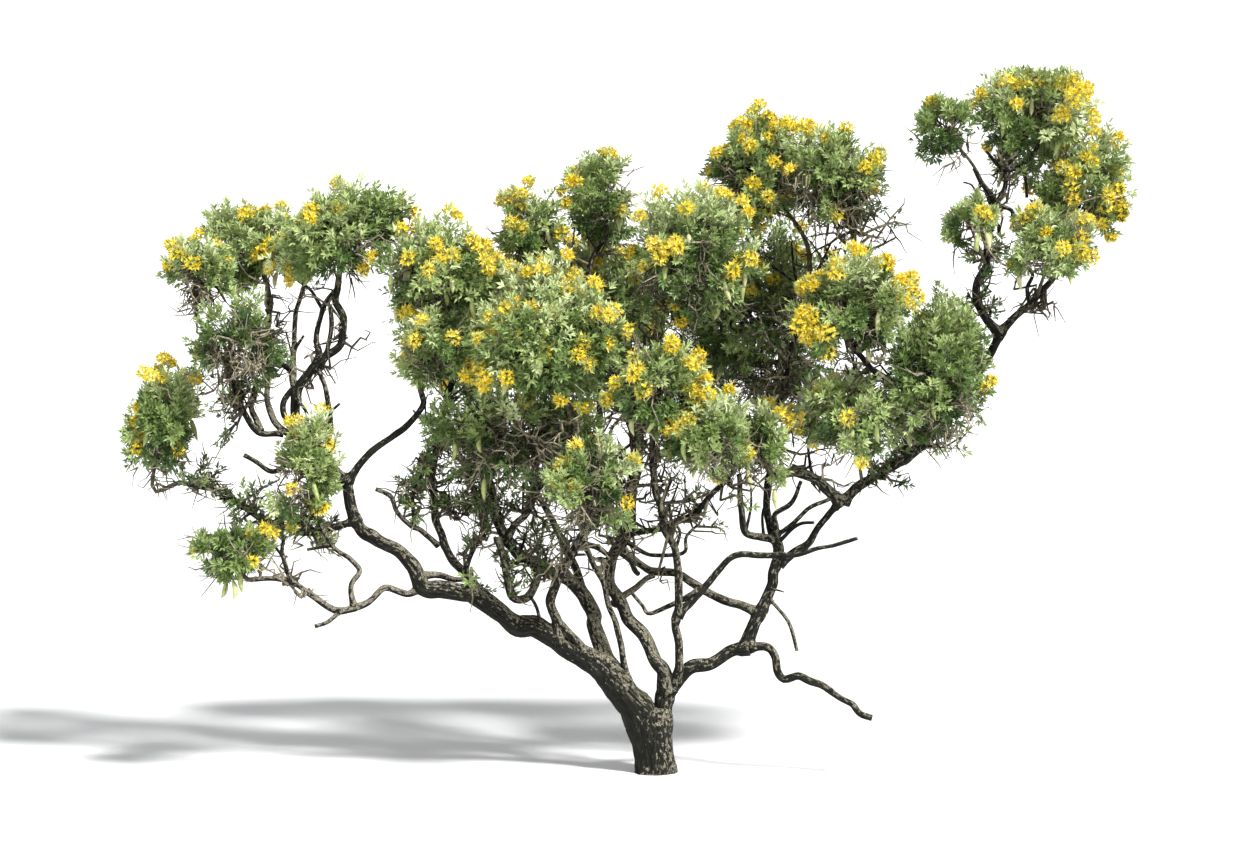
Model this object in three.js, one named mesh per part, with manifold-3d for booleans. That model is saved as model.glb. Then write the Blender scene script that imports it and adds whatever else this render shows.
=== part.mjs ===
// A bladderpod shrub: a short leaning trunk that forks low, bare crooked boughs, and
// separate masses of grey-green leaves with yellow flower heads and hanging pods.
// Millimetres, +Z up. The origin is the centre of the flat cut at ground level, X runs to the
// right across the shrub's broad side and Y runs away from the viewer.
import * as THREE from "three";
import { mergeVertices } from "three/addons/utils/BufferGeometryUtils.js";
import Module from "manifold-3d";

const wasm = await Module();
wasm.setup();

// Driving dimensions

// Where the viewer stands: limbs and masses are written as they look from there.
const EYE = { side: -76, height: 696, distance: 4500 };

// Clearances between neighbouring solids.
const SEAT_GAP = 0.3;
const LIMB_CLEARANCE = 3;
const SPACE_MARGIN = 0.03;
const OVERREACH = 1.1;
const CLEARANCE_STEPS = [0.15, 0.3, 0.45, 0.6, 0.75, 0.9, 1];
const WELD = 1e-4;

// Limbs.
const STOUT = { radius: 12, sides: 7 };
const SLENDER_SIDES = 5;
const STATIONS = { spacing: 95, fewest: 3 };
const COLLAR_SWELL = 0.22;
const COLLAR_REACH = 2.2;
const SAMPLE_SPACING = 8;

// Trunk.
const TRUNK = { ground: 39, waist: 38, fork: 41, below: 30, sides: 12, stations: 5 };
const ROOT_FLARE = { swell: 0.16, height: 26 };
const TRUNK_LEAN = [[0, -TRUNK.below, 0], [0, 0, 0], [-8, 62, 0], [-16, 126, 0]];

// Masses of foliage.
const STEM = { root: 6.4, tip: 5.2, lead: 19.2, sides: 4, past: 0.2, firstTwig: 0.5 };
const STEM_STATIONS = { straight: 3, bent: 6 };
const TWIG = { root: 3.4, tip: 3, sides: 3, reach: 0.56 };
const PATCH_AREA = 41500;
const TWIGS = { fewest: 4, most: 7 };
const SHELL = 0.99;

// Leaf sprays, flower heads and pods.
const SPRAY = { count: 3, width: 0.84, thickness: 0.06, widest: 0.56, sink: 0.8, splay: 1.1 };
const SPRAY_ROOTS = { first: 0.5, last: 0.92 };
const SPRAY_LENGTHS = [1, 0.82, 0.66, 0.52];
const FLOWER = { radius: 26, flatness: 0.78, share: 0.38, lowest: -0.3, reach: 0.86, sprays: 2 };
const POD = { length: 58, radius: 10, sink: 6, along: 0.35, share: 0.05, sides: 5, rings: 3 };

const GOLDEN_ANGLE = Math.PI * (3 - Math.sqrt(5));

// Which of a mass's draws decides what.
const DRAW = { turn: 40, flower: 80, pod: 120 };

// Colours.
const BARK = new THREE.MeshStandardMaterial({ color: 0x57524a, roughness: 0.9, metalness: 0 });
const FOLIAGE = new THREE.MeshStandardMaterial({ color: 0x6d8452, roughness: 0.75, metalness: 0 });

// Limbs, each from its foot on the limb it grows from to its tip.
// A point is [across, up, depth] as seen by the viewer; base and tip are radii.
const LIMBS = [
  limb("left_stem", 29, 10, [-14, 98, 0], [-116, 206, -15], [-278, 304, -45], [-362, 353, -55],
    [-440, 361, -65], [-504, 420, -72], [-560, 461, -80], [-607, 516, -80], [-622, 586, -75]),
  limb("right_stem", 16.5, 11, [6, 106, 0], [24, 160, 0], [64, 198, 0], [116, 226, 0], [192, 250, 0]),
  limb("right_stem_upper", 12.5, 11.6, [179, 247, 0], [198, 304, 5], [222, 358, 15], [248, 424, 30]),
  limb("central_stem", 14.5, 9, [24, 156, 0], [-17, 255, -6], [-59, 313, -4], [-86, 372, 4],
    [-80, 440, 14], [-54, 500, 20], [-44, 580, 25], [-36, 700, 15], [0, 850, -20]),
  limb("left_centre_stem", 18.5, 7.6, [-70, 172, -5], [-104, 244, 20], [-128, 320, 40], [-150, 366, 50],
    [-240, 416, 20], [-290, 450, 0], [-322, 510, -15], [-332, 570, -20]),
  limb("front_stem", 11, 6.5, [-196, 262, -32], [-206, 320, -60], [-200, 370, -90], [-170, 430, -115],
    [-136, 505, -130], [-146, 600, -140], [-172, 710, -150]),
  limb("upright_stem", 9, 7, [40, 176, -4], [42, 236, -30], [44, 370, -70], [36, 440, -90],
    [8, 524, -120], [-8, 636, -160]),
  limb("inner_left_limb", 9.5, 6, [-330, 338, -52], [-386, 398, -30], [-428, 456, -20], [-440, 520, -10],
    [-446, 600, -5], [-430, 690, 10], [-408, 800, 10], [-418, 890, -30]),
  limb("left_fork_limb", 8, 6, [-620, 580, -75], [-570, 636, -85], [-506, 688, -95], [-468, 734, -100],
    [-470, 756, -100]),
  limb("left_crown_limb", 11, 7, [-620, 578, -75], [-668, 626, -65], [-712, 674, -60], [-720, 750, -60],
    [-676, 816, -65], [-632, 858, -70], [-624, 900, -72], [-644, 938, -74], [-638, 974, -75]),
  limb("left_inner_limb", 7, 5, [-706, 664, -62], [-752, 684, -46], [-776, 750, -20],
    [-778, 834, 10], [-774, 950, 50]),
  limb("left_outer_limb", 6.4, 4.4, [-746, 676, -52], [-800, 682, -70], [-828, 722, -85],
    [-840, 770, -95], [-880, 850, -100], [-908, 900, -100]),
  limb("left_mid_branch", 7.5, 5.2, [-596, 505, -80], [-658, 486, -70], [-704, 478, -60], [-742, 486, -50],
    [-838, 536, -40], [-864, 562, -40], [-934, 574, -40]),
  limb("left_low_branch", 7.6, 5.4, [-470, 370, -68], [-500, 354, -82], [-546, 369, -100], [-572, 342, -120],
    [-636, 322, -140], [-690, 356, -150], [-732, 380, -150], [-800, 386, -150]),
  limb("cross_limb", 8.6, 4, [43, 310, -52], [90, 366, -45], [124, 404, -40], [154, 434, -36],
    [240, 432, -30], [328, 448, -40], [402, 470, -55]),
  limb("back_limb", 9.6, 6.4, [212, 316, 8], [124, 352, 50], [44, 394, 90], [-14, 402, 125],
    [-60, 440, 155], [-98, 560, 205], [-110, 736, 280]),
  limb("back_left_limb", 8.5, 6, [-134, 330, 42], [-178, 440, 90], [-262, 600, 160], [-338, 734, 230]),
  limb("centre_right_limb", 7.2, 5.5, [-58, 478, 18], [16, 492, -30], [74, 516, -60], [112, 556, -85],
    [146, 594, -105]),
  limb("top_limb", 7.2, 5, [-40, 660, 20], [-80, 770, 60], [-124, 870, 100], [-144, 960, 130],
    [-130, 1020, 145], [-106, 1064, 150]),
  limb("right_dead_branch", 9, 6.4, [188, 248, 0], [224, 248, -10], [241, 231, -20], [252, 182, -30],
    [288, 191, -40], [322, 177, -50], [358, 154, -56], [390, 139, -62], [412, 117, -66], [434, 106, -70]),
  limb("right_bough", 9, 6.4, [246, 416, 28], [300, 452, 30], [324, 490, 28], [374, 540, 20]),
  limb("arch_limb", 11.6, 10, [372, 536, 20], [340, 566, 0], [300, 589, -20], [252, 598, -36]),
  limb("right_long_limb", 10.4, 9, [374, 538, 20], [406, 572, 38], [448, 602, 62], [500, 624, 80],
    [548, 664, 80], [608, 740, 60], [656, 812, 30], [686, 880, 0]),
  limb("right_crook", 8, 5.4, [498, 622, 80], [492, 680, 40], [482, 730, 0], [474, 776, -30],
    [428, 812, -60], [396, 842, -80]),
  limb("far_right_limb", 9.6, 4.8, [686, 876, 0], [656, 918, -15], [640, 958, -25], [656, 1014, -20],
    [668, 1064, -5], [674, 1114, 10], [696, 1166, 20], [700, 1218, 20]),
  limb("far_right_outer_limb", 9, 5.4, [687, 878, 0], [728, 922, 15], [764, 954, 30], [798, 994, 45],
    [816, 1030, 50]),
  limb("right_centre_limb", 9, 6.6, [246, 418, 30], [232, 470, 60], [222, 540, 95], [230, 660, 130],
    [262, 800, 140], [292, 925, 130]),
  limb("right_bent_limb", 6.4, 4.4, [282, 884, 134], [336, 936, 112], [384, 982, 85], [416, 1028, 60],
    [394, 1056, 50], [394, 1084, 45], [368, 1110, 40]),
];

// Masses: centre as seen, half-sizes across, in depth and up, the lean of its long axis in
// degrees, the limb that carries it, how far along that limb its stem starts, and a bend.
const MASSES = [
  mass("far_left_foliage", [-982, 682, -40], [76, 90, 136], 8, "left_mid_branch", 1, [-1004, 562, -40]),
  mass("left_outer_foliage", [-914, 984, -100], [68, 82, 82], 0, "left_outer_limb", 1),
  mass("left_top_foliage", [-808, 1042, 100], [112, 112, 88], 0, "left_inner_limb", 1),
  mass("left_crown_foliage", [-626, 1066, -75], [142, 118, 96], -22, "left_crown_limb", 1),
  mass("left_inner_foliage", [-832, 860, -150], [106, 90, 100], 0, "left_outer_limb", 0.5),
  mass("left_clump_foliage", [-706, 594, -140], [78, 80, 116], 8, "left_crown_limb", 0.14),
  mass("left_low_foliage", [-850, 440, -150], [88, 84, 62], 0, "left_low_branch", 1),
  mass("centre_left_top_foliage", [-442, 984, -110], [130, 124, 108], 0, "inner_left_limb", 1),
  mass("centre_left_foliage", [-428, 850, -130], [90, 120, 96], 0, "left_fork_limb", 1),
  mass("top_left_foliage", [-256, 1074, 90], [76, 92, 84], 20, "top_limb", 0.7),
  mass("top_foliage", [-106, 1144, 160], [86, 100, 92], 0, "top_limb", 1),
  mass("centre_foliage", [-212, 858, -190], [156, 134, 140], 0, "front_stem", 1),
  mass("lower_centre_foliage", [-284, 668, -90], [186, 115, 106], 0, "left_centre_stem", 1),
  mass("low_clump_foliage", [-134, 566, -235], [94, 80, 106], 0, "front_stem", 0.56),
  mass("centre_right_foliage", [-2, 764, -210], [94, 108, 116], 0, "upright_stem", 1),
  mass("lower_right_foliage", [108, 662, -200], [102, 104, 98], 0, "centre_right_limb", 1),
  mass("arch_foliage", [196, 652, -60], [70, 86, 92], 0, "arch_limb", 1),
  mass("upper_centre_foliage", [68, 1014, -60], [128, 124, 144], 0, "central_stem", 1),
  mass("top_right_foliage", [196, 1194, 110], [96, 112, 124], 28, "right_centre_limb", 1, [304, 1050, 116]),
  mass("right_crown_foliage", [346, 1184, 30], [110, 108, 112], 0, "right_bent_limb", 1),
  mass("mid_right_foliage", [398, 924, -110], [116, 100, 108], 0, "right_crook", 1),
  mass("right_low_foliage", [394, 708, -60], [118, 104, 102], 0, "right_long_limb", 0.12),
  mass("right_back_foliage", [566, 782, -60], [112, 105, 180], 6, "right_long_limb", 0.56),
  mass("far_right_left_foliage", [580, 1278, -50], [74, 80, 74], 0, "far_right_limb", 0.72, [640, 1204, 0]),
  mass("far_right_top_foliage", [750, 1298, 50], [112, 114, 128], 30, "far_right_limb", 1),
  mass("far_right_outer_foliage", [850, 1146, 90], [98, 104, 128], 0, "far_right_outer_limb", 1),
  mass("far_right_inner_foliage", [630, 1088, -70], [58, 72, 60], 0, "far_right_limb", 0.42),
  mass("far_right_low_foliage", [796, 1048, -80], [98, 95, 84], 0, "far_right_outer_limb", 0.5),
  mass("back_left_foliage", [-372, 880, 290], [150, 140, 150], 0, "back_left_limb", 1),
  mass("back_centre_foliage", [-112, 896, 340], [150, 140, 158], 0, "back_limb", 1),
  mass("back_right_foliage", [206, 892, 310], [178, 140, 216], 0, "right_centre_limb", 0.5, [226, 730, 230]),
];

function limb(name, base, tip, ...points) {
  return { name, base, tip, points };
}

function mass(name, centre, half, lean, carrier, along, bend) {
  return { name, centre, half, lean, carrier, along, bend };
}

// How much larger a thing at this depth has to be to look its size from the viewer's place.
function enlargement(depth) {
  return 1 + depth / EYE.distance;
}

// A point as seen, sent along its line of sight to its depth.
function place([across, up, depth]) {
  const scale = enlargement(depth);
  return new THREE.Vector3(
    EYE.side + (across - EYE.side) * scale,
    depth,
    EYE.height + (up - EYE.height) * scale,
  );
}

// A repeatable number from 0 to 1 for each seed and draw.
function dice(seed, draw) {
  const wave = Math.sin(seed * 127.1 + draw * 311.7) * 43758.5453;
  return wave - Math.floor(wave);
}

// A closed geometry as a solid, and a solid as a geometry.
function solidOf(geometry) {
  const bare = geometry.clone();
  bare.deleteAttribute("normal");
  bare.deleteAttribute("uv");
  const merged = mergeVertices(bare, WELD);
  return new wasm.Manifold(
    new wasm.Mesh({
      numProp: 3,
      vertProperties: new Float32Array(merged.attributes.position.array),
      triVerts: new Uint32Array(merged.index.array),
    }),
  );
}

function geometryOf(solid) {
  const { vertProperties, triVerts } = solid.getMesh();
  const geometry = new THREE.BufferGeometry();
  geometry.setAttribute("position", new THREE.BufferAttribute(new Float32Array(vertProperties), 3));
  geometry.setIndex(new THREE.BufferAttribute(new Uint32Array(triVerts), 1));
  geometry.computeVertexNormals();
  return geometry;
}

// The largest body of a solid, with scraps and sealed hollows dropped.
function mainBody(solid) {
  return solid.decompose().reduce((best, body) => (body.volume() > best.volume() ? body : best));
}

// A closed cylinder bent along a curve, its radius given by a function of the share of its length.
function bentCylinder(curve, radiusAt, sides, stations) {
  const geometry = new THREE.CylinderGeometry(1, 1, 1, sides, stations, false);
  const frames = curve.computeFrenetFrames(stations, false);
  const position = geometry.attributes.position;
  const point = new THREE.Vector3();
  for (let i = 0; i < position.count; i += 1) {
    const share = THREE.MathUtils.clamp(position.getY(i) + 0.5, 0, 1);
    const station = Math.round(share * stations);
    const radius = radiusAt(share);
    point
      .copy(curve.getPointAt(share))
      .addScaledVector(frames.normals[station], position.getX(i) * radius)
      .addScaledVector(frames.binormals[station], -position.getZ(i) * radius);
    position.setXYZ(i, point.x, point.y, point.z);
  }
  return geometry;
}

// A limb's radius: an even taper with a swollen collar at its foot.
function taper(base, tip, length) {
  return (share) => {
    const collar = COLLAR_SWELL * Math.exp((-share * length) / (COLLAR_REACH * base));
    return THREE.MathUtils.lerp(base, tip, share) * (1 + collar);
  };
}

function smoothCurve(points) {
  return new THREE.CatmullRomCurve3(points, false, "centripetal");
}

// A limb's solid, swollen all round by the given amount.
function limbSolid({ curve, radiusAt, sides, stations }, swollen = 0) {
  return solidOf(bentCylinder(curve, (share) => radiusAt(share) + swollen, sides, stations));
}

// Points along a limb's middle with the radius there, for keeping leaves clear of it.
function samples({ curve, radiusAt }) {
  const count = Math.ceil(curve.getLength() / SAMPLE_SPACING);
  return Array.from({ length: count + 1 }, (_, i) => ({
    point: curve.getPointAt(i / count),
    radius: radiusAt(i / count),
  }));
}

// The trunk runs from below the ground to its fork and is cut flat at ground level.
function trunk() {
  const curve = smoothCurve(TRUNK_LEAN.map(place));
  const length = curve.getLength();
  const radiusAt = (share) => {
    const height = share * length - TRUNK.below;
    const flare = ROOT_FLARE.swell * Math.exp(-Math.max(height, 0) / ROOT_FLARE.height);
    const upper = THREE.MathUtils.lerp(TRUNK.waist, TRUNK.fork, share * share);
    return Math.max(upper, TRUNK.ground * (1 + flare));
  };
  return { name: "trunk", curve, radiusAt, sides: TRUNK.sides, stations: TRUNK.stations };
}

function bough({ name, base, tip, points }) {
  const curve = smoothCurve(points.map(place));
  const length = curve.getLength();
  return {
    name,
    curve,
    radiusAt: taper(base, tip, length),
    sides: base > STOUT.radius ? STOUT.sides : SLENDER_SIDES,
    stations: Math.max(STATIONS.fewest, Math.round(length / STATIONS.spacing), points.length),
  };
}

// The trunk and boughs in growing order. Each is cut back to sit just clear of those before it.
function growLimbs() {
  const grown = [trunk()];
  grown[0].solid = limbSolid(grown[0]).trimByPlane([0, 0, 1], 0);
  for (const row of LIMBS) {
    const made = bough(row);
    const whole = limbSolid(made);
    const seats = grown.map((earlier) => limbSolid(earlier, SEAT_GAP));
    made.solid = mainBody(whole.subtract(wasm.Manifold.union(seats)));
    grown.push(made);
  }
  return grown;
}

// A mass's space: an ellipsoid in its own leaning axes.
function spaceOf({ centre, half, lean }) {
  const scale = enlargement(centre[2]);
  const radii = new THREE.Vector3(half[0] * scale, half[1], half[2] * scale);
  const turn = new THREE.Quaternion().setFromAxisAngle(
    new THREE.Vector3(0, 1, 0),
    THREE.MathUtils.degToRad(lean),
  );
  const middle = place(centre);
  return {
    middle,
    radii,
    // The point of the space in a direction, at a share of its reach.
    at: (direction, share) =>
      direction.clone().multiply(radii).multiplyScalar(share).applyQuaternion(turn).add(middle),
    // Where a line from a point leaves the space.
    exit: (point, heading) => {
      const inverse = turn.clone().invert();
      const from = point.clone().sub(middle).applyQuaternion(inverse).divide(radii);
      const along = heading.clone().applyQuaternion(inverse).divide(radii);
      const half = from.dot(along) / along.lengthSq();
      const rest = (from.lengthSq() - SHELL * SHELL) / along.lengthSq();
      return point.clone().addScaledVector(heading, -half + Math.sqrt(Math.max(half * half - rest, 0)));
    },
    // 0 at the middle and 1 on the boundary.
    depthOf: (point) => {
      const inverse = turn.clone().invert();
      return point.clone().sub(middle).applyQuaternion(inverse).divide(radii).length();
    },
  };
}

function surfaceArea({ radii: { x, y, z } }) {
  const power = 1.6;
  const mean = ((x * y) ** power + (x * z) ** power + (y * z) ** power) / 3;
  return 4 * Math.PI * mean ** (1 / power);
}

// Directions spread evenly over a sphere by the golden angle.
function spread(index, count, turn) {
  const up = 1 - (2 * index + 1) / count;
  const level = Math.sqrt(1 - up * up);
  const angle = index * GOLDEN_ANGLE + turn;
  return new THREE.Vector3(level * Math.cos(angle), level * Math.sin(angle), up);
}

// Two directions square to a third and to each other, turned about it.
function squareTo(axis, turn) {
  const guide = Math.abs(axis.z) > 0.9 ? new THREE.Vector3(1, 0, 0) : new THREE.Vector3(0, 0, 1);
  const across = new THREE.Vector3().crossVectors(axis, guide).normalize().applyAxisAngle(axis, turn);
  return [across, new THREE.Vector3().crossVectors(across, axis)];
}

// The stem that carries a mass, from 0.3 mm clear of its limb to a little past the mass's middle.
function stemOf(row, seed, limbs) {
  const space = spaceOf(row);
  const carrier = limbs.find(({ name }) => name === row.carrier);
  const atTip = row.along === 1;
  const foot = carrier.curve.getPointAt(row.along);
  const heading = carrier.curve.getTangentAt(row.along);
  const start = atTip ? foot.clone().addScaledVector(heading, SEAT_GAP) : foot;
  const lead = atTip ? [foot.clone().addScaledVector(heading, STEM.lead)] : [];
  const bend = row.bend ? [place(row.bend)] : [];
  const from = bend[0] ?? foot;
  const end = space.middle.clone().lerp(from, -STEM.past);
  const root = atTip ? carrier.radiusAt(1) : STEM.root;
  const stem = {
    curve: smoothCurve([start, ...lead, ...bend, end]),
    radiusAt: (share) => THREE.MathUtils.lerp(root, STEM.tip, share),
    sides: STEM.sides,
    stations: row.bend ? STEM_STATIONS.bent : STEM_STATIONS.straight,
  };
  return { ...row, seed, space, carrier, atTip, stem };
}

// A spray of leaves from a root to a tip: eight faces, its root sunk into its twig.
function spraySolid(root, tip, facing) {
  const along = tip.clone().sub(root).normalize();
  const foot = root.clone().addScaledVector(along, -SPRAY.sink);
  const length = tip.distanceTo(foot);
  const halfWidth = 0.5 * SPRAY.width * length;
  const across = new THREE.Vector3().crossVectors(facing, along).normalize();
  const over = new THREE.Vector3().crossVectors(along, across);
  const blade = new THREE.OctahedronGeometry(1, 0);
  blade.scale(1, halfWidth, 0.5 * SPRAY.thickness * length);
  const position = blade.attributes.position;
  for (let i = 0; i < position.count; i += 1) {
    const lengthwise = [0, SPRAY.widest, 1][Math.round(position.getX(i)) + 1];
    position.setX(i, lengthwise * length);
  }
  blade.applyMatrix4(new THREE.Matrix4().makeBasis(along, across, over).setPosition(foot));
  const widest = foot.clone().addScaledVector(along, SPRAY.widest * length);
  const sides = [-halfWidth, halfWidth].map((away) => widest.clone().addScaledVector(across, away));
  return { solid: solidOf(blade), outline: [tip, ...sides] };
}

// A three-sided twig. Its flat sides face the sprays that grow from them.
function twigSolid(from, to, across, over) {
  const along = to.clone().sub(from);
  const length = along.length();
  const prism = new THREE.CylinderGeometry(TWIG.tip, TWIG.root, length, TWIG.sides, 1, false);
  prism.translate(0, length / 2, 0);
  prism.applyMatrix4(new THREE.Matrix4().makeBasis(across, along.normalize(), over).setPosition(from));
  return solidOf(prism);
}

// A flower head that crowns a twig: a flattened many-sided dome.
function flowerSolid(centre, outward) {
  const head = new THREE.IcosahedronGeometry(FLOWER.radius, 0);
  head.scale(1, 1, FLOWER.flatness);
  const turn = new THREE.Quaternion().setFromUnitVectors(new THREE.Vector3(0, 0, 1), outward);
  head.applyQuaternion(turn).translate(centre.x, centre.y, centre.z);
  const top = centre.clone().addScaledVector(outward, FLOWER.radius * FLOWER.flatness);
  return { solid: solidOf(head), outline: [top, ...ring(centre, outward, FLOWER.radius)] };
}

// A pod that hangs from a twig, its upper end sunk into the wood.
function podSolid(root) {
  const centre = root.clone().add(new THREE.Vector3(0, 0, POD.sink - POD.length / 2));
  const pod = new THREE.SphereGeometry(1, POD.sides, POD.rings);
  pod.rotateX(Math.PI / 2).scale(POD.radius, POD.radius, POD.length / 2);
  pod.translate(centre.x, centre.y, centre.z);
  const low = centre.clone().add(new THREE.Vector3(0, 0, -POD.length / 2));
  return { solid: solidOf(pod), outline: [low, ...ring(centre, new THREE.Vector3(0, 0, 1), POD.radius)] };
}

// Four points round a centre, square to an axis.
function ring(centre, axis, radius) {
  return [0, 1, 2, 3].map((i) => {
    const [away] = squareTo(axis, (i * Math.PI) / 2);
    return centre.clone().addScaledVector(away, radius);
  });
}

// Whether points keep to a mass's own space and stay clear of every limb and of other stems.
function keepsClear(points, grown, others, obstacles) {
  return points.every((point) => {
    const own = grown.space.depthOf(point);
    const crowded = others.some((other) => other.space.depthOf(point) < own + SPACE_MARGIN);
    const blocked = obstacles.some(
      (obstacle) => obstacle.point.distanceTo(point) < obstacle.radius + LIMB_CLEARANCE,
    );
    return own <= OVERREACH && !crowded && !blocked;
  });
}

// Points along straight lines from one point to several.
function rays(from, ends) {
  return ends.flatMap((end) => CLEARANCE_STEPS.map((step) => from.clone().lerp(end, step)));
}

// The longest spray from a root that stays in its space and runs into nothing, if there is one.
function fittedSpray(from, heading, facing, grown, isFree) {
  const full = grown.space.exit(from, heading);
  return SPRAY_LENGTHS.map((share) => spraySolid(from, from.clone().lerp(full, share), facing)).find(
    (spray) => isFree(from, spray),
  );
}

// One twig with its sprays, and a flower head or a pod where the draw gives one.
function twigPieces(grown, index, count, isClear, placed) {
  const { space, stem, seed } = grown;
  const direction = spread(index, count, seed);
  const leaving = THREE.MathUtils.lerp(1, STEM.firstTwig, (index + 0.5) / count);
  const root = stem.curve.getPointAt(leaving);
  const flowers = direction.z > FLOWER.lowest && dice(seed, index + DRAW.flower) < FLOWER.share;
  const reach = flowers ? FLOWER.reach : TWIG.reach;
  const end = space.at(direction, reach);
  if (!isClear(root, [end])) return [];
  const outward = end.clone().sub(root).normalize();
  const [across, over] = squareTo(outward, 2 * Math.PI * dice(seed, index + DRAW.turn));
  const pieces = [];
  const meetsNone = ({ solid }) => [...placed, ...pieces].every((other) => other.intersect(solid).isEmpty());
  const isFree = (from, part) => isClear(from, part.outline) && meetsNone(part);
  const add = (from, part) => {
    if (part && isFree(from, part)) pieces.push(part.solid);
  };
  if (flowers) add(end, flowerSolid(end, outward));
  for (let j = 0; j < (flowers ? FLOWER.sprays : SPRAY.count); j += 1) {
    const along = THREE.MathUtils.lerp(SPRAY_ROOTS.first, SPRAY_ROOTS.last, j / SPRAY.count);
    const from = root.clone().lerp(end, (along * TWIG.reach) / reach);
    const angle = ((2 * j + 1) / SPRAY.count) * Math.PI;
    const side = across.clone().multiplyScalar(Math.sin(angle)).addScaledVector(over, Math.cos(angle));
    const ahead = outward.clone().multiplyScalar(Math.cos(SPRAY.splay));
    const heading = ahead.addScaledVector(side, Math.sin(SPRAY.splay));
    add(from, fittedSpray(from, heading, outward, grown, isFree));
  }
  if (dice(seed, index + DRAW.pod) < POD.share) {
    const from = root.clone().lerp(end, POD.along);
    add(from, podSolid(from));
  }
  return pieces.length ? [twigSolid(root, end, across, over), ...pieces] : [];
}

// A mass of foliage: twigs from its stem to all sides, each ending in sprays of leaves.
// What would leave the mass's space or touch a limb is skipped.
function foliage(grown, masses, limbSamples) {
  const { space, stem, atTip, carrier } = grown;
  const others = masses.filter((other) => other !== grown);
  const obstacles = [...limbSamples, ...others.flatMap((other) => other.stemSamples)];
  const isClear = (from, outline) => keepsClear(rays(from, outline), grown, others, obstacles);
  const stemSolid = limbSolid(stem);
  const pieces = [atTip ? stemSolid : mainBody(stemSolid.subtract(limbSolid(carrier, SEAT_GAP)))];
  const wanted = Math.round(surfaceArea(space) / PATCH_AREA);
  const count = THREE.MathUtils.clamp(wanted, TWIGS.fewest, TWIGS.most);
  for (let i = 0; i < count; i += 1) pieces.push(...twigPieces(grown, i, count, isClear, pieces));
  return mainBody(wasm.Manifold.union(pieces));
}

function growMasses(limbs) {
  const limbSamples = limbs.flatMap(samples);
  const masses = MASSES.map((row, i) => stemOf(row, i + 1, limbs));
  for (const grown of masses) grown.stemSamples = samples(grown.stem);
  for (const grown of masses) grown.solid = foliage(grown, masses, limbSamples);
  return masses;
}

function meshOf({ name, solid }, material) {
  const mesh = new THREE.Mesh(geometryOf(solid), material);
  mesh.name = name;
  return mesh;
}

const limbs = growLimbs();
const masses = growMasses(limbs);

const shrub = new THREE.Group();
shrub.name = "bladderpod_shrub";
const wood = new THREE.Group();
wood.add(...limbs.map((grown) => meshOf(grown, BARK)));
const crown = new THREE.Group();
crown.add(...masses.map((grown) => meshOf(grown, FOLIAGE)));
shrub.add(wood, crown);

export default shrub;
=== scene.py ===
"""A bladderpod shrub: bark limbs, fine twigs, small grey-green leaves, flower heads and pods.

Metres, +Z up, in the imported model's frame. The limbs and masses repeat the part's own sizes and
growing rule, and carry it on to finer twigs within the same reach.
"""
import math
from functools import lru_cache
from types import SimpleNamespace as Named

import bpy
import numpy as np
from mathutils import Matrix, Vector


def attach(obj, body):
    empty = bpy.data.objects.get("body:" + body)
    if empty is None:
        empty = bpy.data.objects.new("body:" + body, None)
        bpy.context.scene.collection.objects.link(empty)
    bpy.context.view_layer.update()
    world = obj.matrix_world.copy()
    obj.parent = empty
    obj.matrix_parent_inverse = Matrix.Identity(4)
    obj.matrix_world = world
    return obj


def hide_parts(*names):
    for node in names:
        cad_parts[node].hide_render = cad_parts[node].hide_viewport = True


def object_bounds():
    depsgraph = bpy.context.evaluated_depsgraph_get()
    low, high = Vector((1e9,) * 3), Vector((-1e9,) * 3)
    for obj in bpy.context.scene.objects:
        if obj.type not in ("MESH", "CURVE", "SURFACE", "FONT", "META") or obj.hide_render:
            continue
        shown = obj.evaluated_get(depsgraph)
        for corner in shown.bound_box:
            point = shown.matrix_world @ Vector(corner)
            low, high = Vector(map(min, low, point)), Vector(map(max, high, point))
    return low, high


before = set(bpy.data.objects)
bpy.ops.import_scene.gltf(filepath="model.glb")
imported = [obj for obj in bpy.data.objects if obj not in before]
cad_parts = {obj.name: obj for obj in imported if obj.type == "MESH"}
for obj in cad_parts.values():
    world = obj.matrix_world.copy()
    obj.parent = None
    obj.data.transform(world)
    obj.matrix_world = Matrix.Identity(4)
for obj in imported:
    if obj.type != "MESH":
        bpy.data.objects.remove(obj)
packed_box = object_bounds()
PACKED_LOW, PACKED_HIGH = (np.array(corner) for corner in packed_box)

MM = 0.001
TINY = 1e-12
GOLDEN_ANGLE = math.pi * (3 - math.sqrt(5))
UP = np.array([0.0, 0.0, 1.0])
# From this share of up on, a direction counts as upright.
UPRIGHT = 0.9
# The power in the formula for an ellipsoid's area.
AREA_POWER = 1.6

# Waves so fast that their values look random, for repeatable draws and noise.
HASH_WAVES = np.array([127.1, 311.7, 74.7])
HASH_SEED_WAVE = 53.3
HASH_SCALE = 43758.5453

# Where the viewer stands: limbs and masses are written as they look from there, in millimetres.
EYE = Named(side=-76, height=696, distance=4500)
PHOTO = Named(width_px=1236, px_per_mm=0.5)
SENSOR_MM = 36
CLIP_END_M = 100

# Lengths below are millimetres, patches square millimetres and turns radians. The rest are shares
# and counts. A pair is the range of a random draw.

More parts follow.
